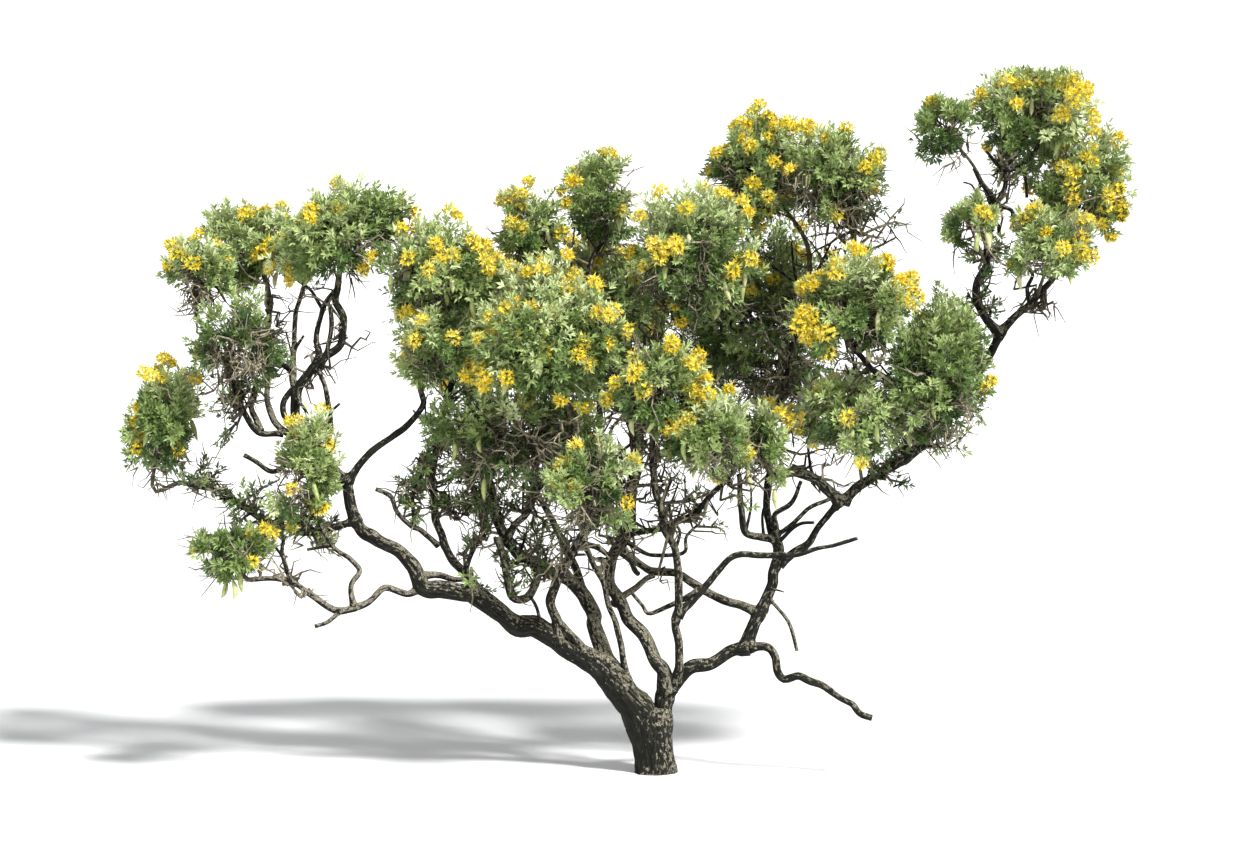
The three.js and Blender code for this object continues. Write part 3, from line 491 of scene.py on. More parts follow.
def place(point):
    """A point as seen, sent along its line of sight to its depth, in metres."""
    across, up, depth = point
    scale = enlargement(depth)
    side = EYE.side + (across - EYE.side) * scale
    height = EYE.height + (up - EYE.height) * scale
    return np.array([side, depth, height]) * MM


def dice(seed, draw):
    """A repeatable number from 0 to 1 for each seed and draw."""
    wave = math.sin(seed * HASH_WAVES[0] + draw * HASH_WAVES[1]) * HASH_SCALE
    return wave - math.floor(wave)


def smooth_curve(points, per_span=24):
    """Close points along a centripetal curve through the given ones."""
    points = np.asarray(points, dtype=float)
    ends = np.vstack([2 * points[0] - points[1], points, 2 * points[-1] - points[-2]])
    shares = np.linspace(0, 1, per_span, endpoint=False)[:, None]
    runs = []
    for before, start, end, after in zip(ends, ends[1:], ends[2:], ends[3:]):
        steps = (start - before, end - start, after - end)
        first, span, last = (math.sqrt(np.linalg.norm(step)) for step in steps)
        leaving = ((start - before) / first - (end - before) / (first + span) + (end - start) / span) * span
        arriving = ((end - start) / span - (after - start) / (span + last) + (after - end) / last) * span
        square = 3 * (end - start) - 2 * leaving - arriving
        cube = 2 * (start - end) + leaving + arriving
        runs.append(start + leaving * shares + square * shares ** 2 + cube * shares ** 3)
    return np.vstack([*runs, points[-1:]])


def arc_lengths(path):
    return np.concatenate([[0], np.cumsum(np.linalg.norm(np.diff(path, axis=0), axis=1))])


def at_shares(path, shares):
    """Points at shares of a path's length."""
    reach = arc_lengths(path)
    wanted = np.asarray(shares) * reach[-1]
    return np.stack([np.interp(wanted, reach, path[:, axis]) for axis in range(3)], axis=-1)


def square_frames(path):
    """Two unit vectors square to a path at each of its points, without twist."""
    along = unit(np.gradient(path, axis=0))
    guide = np.eye(3)[np.argmin(np.abs(along[0]))]
    normals = np.empty_like(along)
    for i, heading in enumerate(along):
        guide = unit(guide - heading * (guide @ heading))
        normals[i] = guide
    return normals, np.cross(along, normals)


def square_to(axis, turn):
    """Two directions square to a third and to each other, turned about it."""
    guide = np.array([1.0, 0, 0]) if abs(axis[2]) > UPRIGHT else UP
    first = unit(np.cross(axis, guide))
    across = swung(first, np.cross(axis, first), turn)
    return across, np.cross(across, axis)


def spread(index, count, turn):
    """Directions spread evenly over a sphere by the golden angle."""
    index = np.asarray(index, dtype=float)
    up = 1 - (2 * index + 1) / count
    return around(np.sqrt(1 - up * up), index * GOLDEN_ANGLE + turn, up)


def random_directions(count, rise, rng):
    """Directions to all sides, drawn upwards by a rise."""
    return unit(rng.normal(0, 1, (count, 3)) + UP * rise)


def drawn_lengths(sizes, rng, shape=None):
    """Lengths in a range about a kind's own length, in metres."""
    return sizes.length * MM * rng.uniform(*sizes.lengths, shape)


class Space:
    """A mass's space: an ellipsoid in its own leaning axes."""

    def __init__(self, row):
        scale = enlargement(row.centre[2])
        across, deep, up = row.half
        angle = math.radians(row.lean)
        self.middle = place(row.centre)
        self.radii = np.array([across * scale, deep, up * scale]) * MM
        self.turn = np.array([
            [math.cos(angle), 0, math.sin(angle)],
            [0, 1, 0],
            [-math.sin(angle), 0, math.cos(angle)],
        ])

    def at(self, directions, share):
        """The points of the space in these directions, at a share of its reach."""
        return self.middle + (directions * self.radii * np.reshape(share, (-1, 1))) @ self.turn.T

    def depth_of(self, points):
        """0 at the middle and 1 on the boundary."""
        return np.linalg.norm((points - self.middle) @ self.turn / self.radii, axis=-1)

    def area(self):
        """The area of its surface in square millimetres."""
        x, y, z = self.radii / MM
        mean = ((x * y) ** AREA_POWER + (x * z) ** AREA_POWER + (y * z) ** AREA_POWER) / 3
        return 4 * math.pi * mean ** (1 / AREA_POWER)


# Meshes made from arrays

def ring_angles(sides):
    return np.linspace(0, 2 * math.pi, sides, endpoint=False)


def wall_faces(rings, sides):
    """Triangles between the rings of a tube."""
    ring, side = np.meshgrid(np.arange(rings - 1), np.arange(sides), indexing="ij")
    a = ring * sides + side
    b = ring * sides + (side + 1) % sides
    return np.stack([a, b, b + sides, a, b + sides, a + sides], axis=-1).reshape(-1, 3)


def fan_faces(point, ring):
    """Triangles from one point to each step of a closed ring of points."""
    return np.stack([np.full(len(ring), point), ring, np.roll(ring, -1)], axis=-1)


@lru_cache(maxsize=None)
def tube_faces(rings, sides):
    """Triangles of a tube with a point at each end, after its ring points."""
    ring = np.arange(sides)
    foot = fan_faces(rings * sides, ring)[:, [0, 2, 1]]
    head = fan_faces(rings * sides + 1, ring + (rings - 1) * sides)
    return np.vstack([wall_faces(rings, sides), foot, head])


@lru_cache(maxsize=None)
def twig_faces(rings, sides):
    """Triangles of a twig with an open foot and one point at its tip."""
    last_ring = np.arange(sides) + (rings - 1) * sides
    return np.vstack([wall_faces(rings, sides), fan_faces(rings * sides, last_ring)])


def tube(path, radii, sides):
    """A closed tube along a path. Radii are one for each ring, or one for each ring and side."""
    normals, sideways = square_frames(path)
    outward = swung(normals[:, None], sideways[:, None], ring_angles(sides)[:, None])
    radii = np.broadcast_to(np.reshape(radii, (len(path), -1)), (len(path), sides))
    points = path[:, None] + outward * radii[..., None]
    return np.vstack([points.reshape(-1, 3), path[:1], path[-1:]]), tube_faces(len(path), sides)


def twig_tubes(paths, sizes):
    """Many thin twigs at once, each along its own few points to a pointed tip."""
    along = unit(np.gradient(paths, axis=1))[:, :-1]
    guide = np.eye(3)[np.argmin(np.abs(paths[:, -1] - paths[:, 0]), axis=1)][:, None]
    normals = unit(np.cross(along, guide))
    sideways = np.cross(along, normals)
    outward = swung(normals[:, :, None], sideways[:, :, None], ring_angles(FINE_SIDES)[:, None])
    count, rings = along.shape[:2]
    radii = np.linspace(sizes.root, sizes.tip, rings)[:, None, None] * MM
    skins = (paths[:, :-1, None] + outward * radii).reshape(count, rings * FINE_SIDES, 3)
    points = np.concatenate([skins, paths[:, -1:]], axis=1)
    faces = twig_faces(rings, FINE_SIDES) + points.shape[1] * np.arange(count)[:, None, None]
    return points.reshape(-1, 3), faces.reshape(-1, 3)


def blades(roots, along, facing, lengths, widths):
    """One small folded blade for each root."""
    across = unit(np.cross(facing, along))
    over = np.cross(along, across)
    sizes = np.stack([lengths, widths, lengths], axis=-1)[:, None]
    local = BLADE[None] * sizes
    points = (roots[:, None] + local[..., 0:1] * along[:, None]
              + local[..., 1:2] * across[:, None] + local[..., 2:3] * over[:, None])
    faces = BLADE_FACES[None] + len(BLADE) * np.arange(len(roots))[:, None, None]
    return points.reshape(-1, 3), faces.reshape(-1, 3)


class Pile:
    """Small meshes of one kind, each with its tint, to be joined into pieces."""

    def __init__(self):
        self.blocks = []

    def add(self, points, faces, tint, grain=None):
        tints = np.broadcast_to(np.asarray(tint), len(faces))
        self.blocks.append((points, faces, tints, grain))

    def triangles(self):
        return sum(len(faces) for _, faces, _, _ in self.blocks)

    def parted(self):
        """The pile as several piles, each small enough for one piece."""
        piles = [Pile()]
        for block in self.blocks:
            if piles[-1].triangles() + len(block[1]) > PIECE_TRIANGLES:
                piles.append(Pile())
            piles[-1].blocks.append(block)
        return piles

    def joined(self):
        """All points, faces, tints and, where there is one, the grain, as single arrays."""
        points, faces, tints, grains = zip(*self.blocks)
        starts = np.cumsum([0] + [len(block) for block in points])
        moved = [block + start for block, start in zip(faces, starts)]
        grain = None if grains[0] is None else np.vstack(grains)
        return np.vstack(points), np.vstack(moved), np.concatenate(tints), grain


def fill(items, key, values, kind):
    """Gives every item of a mesh its value from an array."""
    items.foreach_set(key, np.ascontiguousarray(values, dtype=kind).ravel())


def make_mesh(name, pile, smooth):
    """One mesh of a pile's triangles, with the grain of its bark where there is one."""
    points, faces, tints, grain = pile.joined()
    mesh = bpy.data.meshes.new(name)
    mesh.vertices.add(len(points))
    mesh.loops.add(faces.size)
    mesh.polygons.add(len(faces))
    fill(mesh.vertices, "co", points, np.float32)
    fill(mesh.loops, "vertex_index", faces, np.int32)
    fill(mesh.polygons, "loop_start", np.arange(0, faces.size, 3), np.int32)
    fill(mesh.polygons, "material_index", tints, np.int32)
    fill(mesh.polygons, "use_smooth", np.full(len(faces), smooth), bool)
    mesh.update(calc_edges=True)
    if grain is not None:
        attribute = mesh.attributes.new("grain", "FLOAT_VECTOR", "POINT")
        fill(attribute.data, "vector", grain, np.float32)
    return mesh


def add_object(name, data):
    """A new object in the scene."""
    piece = bpy.data.objects.new(name, data)
    bpy.context.scene.collection.objects.link(piece)
    return piece


def make_piece(name, pile, materials, smooth, replaced=()):
    """One joined mesh object that rides on the plant."""
    mesh = make_mesh(name, pile, smooth)
    for material in materials:
        mesh.materials.append(material)
    piece = add_object(name, mesh)
    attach(piece, "root")
    if replaced:
        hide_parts(*replaced)


# Limbs

def lattice_noise(points, seed):
    """Smooth noise from 0 to 1 with a grain of one unit."""
    cell = np.floor(points)
    blend = points - cell
    blend = blend * blend * (3 - 2 * blend)
    total = np.zeros(len(points))
    for corner in np.ndindex(2, 2, 2):
        wave = np.sin((cell + corner) @ HASH_WAVES + seed * HASH_SEED_WAVE) * HASH_SCALE
        weight = np.prod(np.where(np.array(corner), blend, 1 - blend), axis=1)
        total += weight * (wave - np.floor(wave))
    return total


def ring_shares(length):
    """Shares of a limb's length at which its rings stand."""
    return np.linspace(0, 1, int(length / (BARK.step * MM)) + 1)


def taper(base, tip, shares, length):
    """An even taper with a swollen collar at the foot, in metres."""
    collar = COLLAR_SWELL * np.exp(-shares * length / (COLLAR_REACH * base * MM))
    return (base + (tip - base) * shares) * MM * (1 + collar)


def trunk_limb():
    """The trunk, flared at the ground and rounded off above its fork."""
    path = smooth_curve([place(point) for point in TRUNK_LEAN])
    length = arc_lengths(path)[-1]
    shares = ring_shares(length)
    height = np.maximum(shares * length / MM - TRUNK.below, 0)
    flare = TRUNK.root_flare * np.exp(-height / TRUNK.flare_height)
    upper = TRUNK.waist + (TRUNK.fork - TRUNK.waist) * shares ** 2
    top = length / MM - TRUNK.below
    shoulder = np.clip((height - TRUNK.shoulder) / (top - TRUNK.shoulder), 0, 1)
    full = np.maximum(upper, TRUNK.ground * (1 + flare))
    radius = full * (1 - TRUNK.shoulder_drop * shoulder ** 2) * MM
    return Named(name="trunk", pale=False, path=at_shares(path, shares), radius=radius)


def gnarled(path, radius, seed):
    """A limb's path with small uneven bends, none at its foot."""
    run = arc_lengths(path) / MM
    still = np.zeros_like(run)
    places = np.stack([run / GNARL.length, still + seed, still], axis=-1)
    bends = np.stack([lattice_noise(places, seed + axis) - 0.5 for axis in range(3)], axis=-1)
    swing = GNARL.share * radius * np.minimum(1, run / GNARL.start)
    return path + bends * swing[:, None]


def bough_limb(row, seed):
    """A bough or side branch, tapered and with its bends."""
    path = smooth_curve([place(point) for point in row.points])
    length = arc_lengths(path)[-1]
    shares = ring_shares(length)
    radius = taper(row.base, row.tip, shares, length)
    bent = gnarled(at_shares(path, shares), radius, seed)
    return Named(name=row.name, pale=row.pale, path=bent, radius=radius)


def bark_relief(grain, thickness, seed):
    """How far lumps and long fissures move the bark out from a limb's even skin."""
    lumps = lattice_noise(grain / LUMP_GRAIN, seed) - 0.5
    fissures = 1 - np.abs(2 * lattice_noise(grain / FISSURE_GRAIN, seed + 0.5) - 1)
    depth = np.minimum(BARK.fissure * MM, BARK.fissure_share * thickness)
    return 2 * BARK.lumps * lumps * thickness - depth * fissures ** 2


def add_bark(grown, seed):
    """Gives a limb its skin, and the grain that its colours follow."""
    path, radius = grown.path, grown.radius
    sides = int(np.clip(2 * math.pi * radius.max() / (BARK.facet * MM), *BARK.sides))
    run = arc_lengths(path)
    grain = around(radius[:, None], ring_angles(sides), run[:, None]).reshape(-1, 3)
    relief = bark_relief(grain / MM + seed * GRAIN_SHIFT.relief, np.repeat(radius, sides), seed)
    grown.points, grown.faces = tube(path, radius[:, None] + relief.reshape(len(path), sides), sides)
    grown.outward = unit(grown.points[:-2] - np.repeat(path, sides, axis=0))
    ends = np.array([[0, 0, 0], [0, 0, run[-1]]])
    grown.grain = np.vstack([grain, ends]) + seed * GRAIN_SHIFT.colour


def parent_of(child, earlier):
    """The earlier limb whose wood a limb's foot stands in."""
    foot = child.path[0]

    def gap(other):
        return np.min(np.linalg.norm(other.path - foot, axis=1) - other.radius)

    return min(earlier, key=gap)


def fillet(grown, neighbour, size, centre):
    """Swells a limb's skin where it meets a neighbour's."""
    skin = grown.points[:-2]
    near = np.nonzero(np.linalg.norm(skin - centre, axis=1) < FILLET.reach * size)[0]
    gaps = np.linalg.norm(skin[near][:, None] - neighbour.path[None], axis=2) - neighbour.radius
    closeness = np.clip(1 - np.abs(gaps.min(axis=1)) / size, 0, 1)
    skin[near] += grown.outward[near] * (FILLET.swell * size * closeness ** 2)[:, None]


def grow_limbs():
    """The trunk, boughs and bare side branches, with bark and smooth forks."""
    limbs = [trunk_limb()] + [bough_limb(row, seed) for seed, row in enumerate(LIMBS + SPURS)]
    for seed, grown in enumerate(limbs, start=1):
        add_bark(grown, seed)
    for i, grown in enumerate(limbs[1:], start=1):
        parent = parent_of(grown, limbs[:i])
        size = FILLET.size * grown.radius[0]
        fillet(grown, parent, size, grown.path[0])
        fillet(parent, grown, size, grown.path[0])
    trunk_skin = limbs[0].points
    trunk_skin[:, 2] = np.maximum(trunk_skin[:, 2], 0)
    return limbs


def limb_named(limbs, name):
    return next(grown for grown in limbs if grown.name == name)


# Where foliage grows

class Foliage:
    """The limbs, and everything that grows on them and on the masses, gathered by kind."""

    def __init__(self, limbs):
        self.limbs = limbs
        self.limb_points = np.vstack([grown.path[::2] for grown in limbs])
        self.limb_radii = np.concatenate([grown.radius[::2] for grown in limbs])
        self.twigs = Pile()
        self.dry_twigs = Pile()
        self.shoots = Pile()
        self.flowers = Pile()
        self.pods = Pile()
        self.leaf_pieces = []

    def leaf_pile(self, name):
        """The pile that takes a mass's leaves, a new one when the last is full."""
        if not self.leaf_pieces or self.leaf_pieces[-1][0].triangles() > PIECE_TRIANGLES * FULL_PILE:
            self.leaf_pieces.append((Pile(), []))
        pile, names = self.leaf_pieces[-1]
        names.append(name)
        return pile

    def clear_of_limbs(self, tips):
        """Which tips stand clear of every limb, by every other of its rings."""
        gaps = np.linalg.norm(tips[:, None] - self.limb_points[None], axis=2) - self.limb_radii
        return gaps.min(axis=1) > LIMB_CLEARANCE * MM


def stem_path(row, space, limbs):
    """The stem that carries a mass, from its limb to a little past the mass's middle, and its radius."""
    carrier = limb_named(limbs, row.carrier)
    path = carrier.path
    at_tip = row.along == 1
    foot = at_shares(path, [row.along])[0]
    lead = [foot + unit(path[-1] - path[-2]) * (STEM.lead * MM)] if at_tip else []
    bend = [place(row.bend)] if row.bend else []
    origin = bend[0] if bend else foot
    end = space.middle + (space.middle - origin) * STEM.past
    radius = carrier.radius[-1] if at_tip else STEM.side_root * MM
    return smooth_curve([foot, *lead, *bend, end]), radius


def main_twigs(seed, space, stem):
    """The mass's twigs by the part's own rule, each with its path and whether it flowers."""
    wanted = round(space.area() / TWIG.patch)
    count = min(max(wanted, TWIG.fewest), TWIG.most)
    twigs = []
    for index in range(count):
        direction = spread(index, count, seed)
        high = direction[2] > FLOWER.lowest
        flowers = high and dice(seed, index + FLOWER.draw) < FLOWER.share
        leaving = 1 + (STEM.first_twig - 1) * (index + 0.5) / count
        root = at_shares(stem, [leaving])[0]
        end = space.at(direction, FLOWER.reach if flowers else TWIG.reach)[0]
        twigs.append(Named(path=np.linspace(root, end, TWIG.rings), flowers=flowers))
    return twigs


def mass_lobes(row, space, rng):
    """The lobes of a mass: their directions, their heights and which of them flower."""
    count = round(space.area() / LOBES.patch)
    lobes = random_directions(count, LOBES.rise, rng)
    heights = rng.uniform(*LOBES.height, count)
    sunny = BLOOM.middle + BLOOM.up * lobes[:, 2] - BLOOM.back * lobes[:, 1]
    flowering = rng.random(count) < row.blooms * sunny
    heights[flowering] *= FLOWER.lift
    return lobes, heights, flowering


def spray_places(row, seed, space, rng):
    """Directions, reach and bloom of a mass's sprays, which gather in lobes that flower at their tops."""
    count = int(row.leafy * space.area() / SPRAY.patch)
    directions = unit(spread(np.arange(count), count, seed) + rng.normal(0, SPRAY.scatter, (count, 3)))
    lobes, heights, flowering = mass_lobes(row, space, rng)
    closeness = directions @ lobes.T
    nearest = closeness.argmax(axis=1)
    nearness = closeness.max(axis=1)
    reach = heights[nearest] * np.interp(nearness, [LOBES.foot, LOBES.top], [LOBES.hollow, 1])
    inner = rng.random(count) < SPRAY.inner_share
    reach[inner] *= rng.uniform(*SPRAY.inner_reach, inner.sum())
    blooming = flowering[nearest] & (nearness > FLOWER.cap) & ~inner
    leafy = (nearness > LOBES.edge) | (rng.random(count) < LOBES.between)
    fullness = np.clip(1 + SPRAY.skirt_slope * directions[:, 2], SPRAY.skirt, 1)
    kept = leafy & (rng.random(count) < fullness)
    return directions[kept], reach[kept], blooming[kept]


def in_own_space(tips, space, others, blend):
    """Which tips keep to their own mass, or are no further than the blend into another's."""
    own = space.depth_of(tips)
    return np.all([own < other.depth_of(tips) + blend for other in others], axis=0)


def within_box(tips, origins, inset=0):
    """Tips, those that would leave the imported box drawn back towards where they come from."""
    offset = tips - origins
    room = np.where(offset > 0, PACKED_HIGH - origins, origins - PACKED_LOW) - inset * MM
    share = np.min(room / np.maximum(np.abs(offset), TINY), axis=1, keepdims=True)
    return origins + offset * np.clip(share, 0, 1)


def bend_points(feet, tips, rng, sag):
    """Middle points for curved twigs that swing out and turn up at their ends."""
    span = np.linalg.norm(tips - feet, axis=1, keepdims=True)
    return (feet + tips) / 2 + rng.normal(0, TWIG_BEND, tips.shape) * span - UP * sag * span


def along_curves(feet, middles, tips, shares):
    """Points at shares along many curves at once, with the heading there."""
    feet, middles, tips = feet[:, None], middles[:, None], tips[:, None]
    t = np.broadcast_to(shares, (len(feet), np.shape(shares)[-1]))[..., None]
    points = (1 - t) ** 2 * feet + 2 * t * (1 - t) * middles + t ** 2 * tips
    return points, unit((1 - t) * (middles - feet) + t * (tips - middles))


def nearest_wood(wood, targets, middle):
    """The point of the wood that each target would grow from, rather within than beside it."""
    inward = INWARD_PULL * np.linalg.norm(wood - middle, axis=1)
    away = np.linalg.norm(wood[None] - targets[:, None], axis=2) + inward
    return wood[np.argmin(away, axis=1)]


# Leaves, flower heads and pods

def leaf_directions(along, steps, rng):
    """Where each leaf of a shoot heads, in a spiral round it, and the way the leaf faces."""
    angles = np.arange(LEAF.count) * GOLDEN_ANGLE + rng.uniform(0, 2 * math.pi, (len(along), 1))
    first = unit(np.cross(along, rng.normal(0, 1, (len(along), 1, 3))))
    side = swung(first, np.cross(along, first), angles[..., None])
    lean = LEAF_LEAN.tip + LEAF_LEAN.foot * (1 - steps)
    lean = (lean + rng.normal(0, LEAF_LEAN.spread, steps.shape))[..., None]
    heading = unit(swung(along, side, lean) + UP * LEAF_LEAN.lift)
    sway = rng.normal(0, LEAF_FACE.spread, along.shape)
    return heading, unit(along * LEAF_FACE.along + UP * LEAF_FACE.up + sway)


def add_leaves(pile, feet, middles, tips, tints, rng):
    """Leaves of three leaflets along the outer part of each shoot."""
    steps = (np.arange(LEAF.count) + rng.uniform(0, 1, (len(feet), 1))) / LEAF.count
    shares = LEAF.first + (1 - LEAF.first) * steps
    roots, along = along_curves(feet, middles, tips, shares)
    heading, facing = leaf_directions(along, steps, rng)
    across = unit(np.cross(facing, heading))
    bases = roots + heading * LEAF.petiole * MM * rng.uniform(*LEAF.petioles, (*steps.shape, 1))
    sizes = drawn_lengths(LEAF, rng, steps.shape).ravel()
    face_tints = np.repeat(tints, LEAF.count * len(BLADE_FACES))
    for turn, share in LEAFLETS:
        leaflets = unit(swung(heading, across, turn)).reshape(-1, 3)
        lengths = sizes * share
        points, faces = blades(bases.reshape(-1, 3), leaflets, facing.reshape(-1, 3),
                               lengths, lengths * LEAF.width)
        pile.add(points, faces, face_tints)


def flower_directions(axis, rng):
    """The ways that a head's flowers face, spread over a dome."""
    order = np.arange(FLOWER.count)
    across, over = square_to(axis, rng.uniform(0, 2 * math.pi))
    polar = FLOWER.dome * np.sqrt((order + 0.5) / FLOWER.count)
    side = swung(across, over, order[:, None] * GOLDEN_ANGLE)
    return swung(axis, side, polar[:, None])


def add_flower_head(pile, tip, axis, rng):
    """A dome of four-petalled flowers with long stamens."""
    count = FLOWER.count
    outward = flower_directions(axis, rng)
    size = rng.uniform(*FLOWER.sizes)
    reach = outward * FLOWER.core * MM * size * rng.uniform(*FLOWER.cores, (count, 1))
    bases = tip + reach - axis * (FLOWER.sink * MM)
    first = unit(np.cross(outward, UP + rng.normal(0, FLOWER.tilt, 3)))
    second = np.cross(outward, first)
    tint = int(rng.integers(0, PETAL.tints))
    for petal in range(PETAL.count):
        turn = petal * 2 * math.pi / PETAL.count
        side = swung(first, second, turn)
        opening = rng.normal(PETAL.open, PETAL.spread, (count, 1))
        heading = unit(swung(outward, side, opening))
        lengths = drawn_lengths(PETAL, rng, count)
        pile.add(*blades(bases, heading, outward, lengths, lengths * PETAL.width), tint)
    for _ in range(STAMEN.count):
        heading = unit(outward + rng.normal(0, STAMEN.spread, (count, 3)))
        lengths = drawn_lengths(STAMEN, rng, count)
        pile.add(*blades(bases, heading, first, lengths, lengths * STAMEN.width), STAMEN.tint)


def add_pod(pile, root, rng):
    """A swollen pod with a beak, hanging on a thin stalk."""
    drift = np.array([*rng.normal(0, POD.drift, 2), -1.0])
    stalk = np.linspace(root, root + unit(drift) * STALK.length * MM, STALK.rings)
    pile.add(*tube(stalk, np.full(STALK.rings, STALK.radius * MM), STALK.sides), 0)
    length = drawn_lengths(POD, rng)
    shares = np.linspace(0, 1, POD.rings)
    swelling = np.sin(math.pi * shares ** POD.skew) ** POD.fullness
    radius = POD.radius * MM * swelling + POD.beak * MM
    bow = np.outer(np.sin(math.pi * shares), rng.normal(0, POD.bow * MM, 3))
    heading = unit(drift + rng.normal(0, POD.turn, 3))
    path = stalk[-1] + np.outer(shares, heading * length) + bow
    pile.add(*tube(path, radius, POD.sides), int(rng.integers(0, len(POD_TINTS))))


# Twigs and masses

def add_twigs(pile, paths, sizes, tints):
    """Thin twigs along their paths, each with its tint."""
    points, faces = twig_tubes(paths, sizes)
    twig_tints = np.broadcast_to(tints, len(paths))
    pile.add(points, faces, np.repeat(twig_tints, len(faces) // len(paths)))


def curved_twigs(feet, tips, sizes, rng):
    """Paths of smooth twigs, and their middle points."""
    middles = bend_points(feet, tips, rng, sizes.sag)
    paths, _ = along_curves(feet, middles, tips, np.linspace(0, 1, sizes.points))
    return paths, middles


def crooked_twigs(feet, tips, sizes, rng):
    """Paths of dry twigs with small kinks between their ends, and their middle points."""
    paths, middles = curved_twigs(feet, tips, sizes, rng)
    kinks = rng.normal(0, sizes.kink * MM, paths.shape)
    kinks[:, [0, -1]] = 0
    return paths + kinks, middles


def add_side_twigs(pile, paths, tints, rng):
    """Short twigs from the outer part of each longer one."""
    parent = np.repeat(np.arange(len(paths)), SIDE_TWIG.count)
    feet = paths[parent, rng.integers(*SIDE_TWIG.from_points, len(parent))]
    ahead = unit(paths[parent, -1] - paths[parent, 0])
    outward = unit(SIDE_TWIG.ahead * ahead + rng.normal(0, SIDE_TWIG.spread, ahead.shape))
    spans = drawn_lengths(SIDE_TWIG, rng, (len(parent), 1))
    side_paths, _ = crooked_twigs(feet, within_box(feet + outward * spans, feet), SIDE_TWIG, rng)
    add_twigs(pile, side_paths, SIDE_TWIG, tints[parent])


def add_dry_twigs(pile, feet, tips, sizes, rng):
    """Dry twigs with side twigs, in tints dealt by twig. Returns their middle points."""
    paths, middles = crooked_twigs(feet, tips, sizes, rng)
    tints = rng.choice(sizes.tints, len(feet))
    add_twigs(pile, paths, sizes, tints)
    add_side_twigs(pile, paths, tints, rng)
    return middles


def add_tangle(pile, row, space, wood, rng):
    """Dry leafless twigs within a mass, more of them towards its foot."""
    count = int(TANGLE.count * row.tangle)
    directions = random_directions(count, TANGLE.rise, rng)
    tips = within_box(space.at(directions, rng.uniform(*TANGLE.reach, count)), space.middle)
    add_dry_twigs(pile, nearest_wood(wood, tips, space.middle), tips, TANGLE, rng)


def add_main_wood(row, seed, space, foliage, rng):
    """A mass's stem and main twigs with their flower heads. Returns points of the wood."""
    stem, root_radius = stem_path(row, space, foliage.limbs)
    stem_points = at_shares(stem, np.linspace(0, 1, STEM.rings))
    stem_radii = np.linspace(root_radius, STEM.tip * MM, STEM.rings)
    foliage.twigs.add(*tube(stem_points, stem_radii, STEM.sides), DARK_TWIG)
    swing = np.sin(np.linspace(0, math.pi, TWIG.rings))[:, None]
    twig_radii = np.linspace(TWIG.root, TWIG.tip, TWIG.rings) * MM
    wood = [stem_points[STEM.bare_rings:]]
    for twig in main_twigs(seed, space, stem):
        path = twig.path + rng.normal(0, TWIG.sway * MM, 3) * swing
        wood.append(path[1:])
        foliage.twigs.add(*tube(path, twig_radii, TWIG.sides), DARK_TWIG)
        if twig.flowers:
            axis = unit(path[-1] - path[-2] + UP * UPTURN)
            head = within_box(path[-1:], space.middle, FLOWER.inset)[0]
            add_flower_head(foliage.flowers, head, axis, rng)
    return np.vstack(wood)


def add_branchlets(pile, space, directions, reach, wood, rng):
    """Branchlets out to where the sprays fan out. Returns their roots, middle points and ends."""
    nodes = space.at(directions, reach * SPRAY.node)
    roots = nearest_wood(wood, nodes, space.middle)
    paths, elbows = curved_twigs(roots, nodes, BRANCHLET, rng)
    add_twigs(pile, paths, BRANCHLET, YOUNG_TWIG)
    return roots, elbows, nodes


def painted_sunlight(row, directions, reach, rng):
    """How sunny each spray stands, about 0 to 1; it paints the spray's leaves lighter or darker."""
    outside = LEAF_SUN.out * (reach - LEAF_SUN.out_from)
    sun = LEAF_SUN.middle + LEAF_SUN.up * directions[:, 2] + outside - LEAF_SUN.shade * row.shade
    return sun + rng.normal(0, LEAF_SUN.spread, len(sun))


def shoot_ends(row, space, others, sprays, branchlets, foliage, rng):
    """The spray that each shoot belongs to, and the shoot's foot and tip, where it has room to grow."""
    directions, reach = sprays
    spray = np.repeat(np.arange(len(reach)), SHOOT.count)
    facing = unit(directions[spray] + rng.normal(0, SHOOT.spread, (len(spray), 3)))
    shoot_reach = reach[spray] + rng.uniform(*SHOOT.reach, len(spray))
    tips = within_box(space.at(facing, shoot_reach) + UP * SHOOT.lift * MM, space.middle)
    shares = rng.uniform(*SHOOT.feet, (len(spray), 1))
    feet = along_curves(*[points[spray] for points in branchlets], shares)[0][:, 0]
    kept = in_own_space(tips, space, others, row.blend) & foliage.clear_of_limbs(tips)
    return spray[kept], feet[kept], tips[kept]


def leaf_tints(sun, rng):
    """The place of each shoot's leaf tint, lighter in more sun: painted sunlight and shade."""
    shares = sun + rng.normal(0, LEAF_SUN.shoot_spread, len(sun))
    return np.clip(shares * len(LEAF_TINTS), 0, len(LEAF_TINTS) - 1).astype(int)


def add_heads(pile, row, space, blooming, middles, tips, rng):
    """Flower heads on some of the shoots whose sprays bloom."""
    axes = unit(tips - middles + UP * UPTURN)
    heads = within_box(tips + axes * FLOWER.rise * MM, space.middle, FLOWER.inset)
    share = FLOWER.heads * max(1, row.blooms)
    for i in np.nonzero(blooming & (rng.random(len(tips)) < share))[0]:
        add_flower_head(pile, heads[i], axes[i], rng)


def add_pods(pile, reach, middles, rng):
    """Pods on some of the shoots of the outer sprays."""
    for i in np.nonzero(rng.random(len(reach)) < POD.share * (reach > POD.outside))[0]:
        add_pod(pile, middles[i], rng)


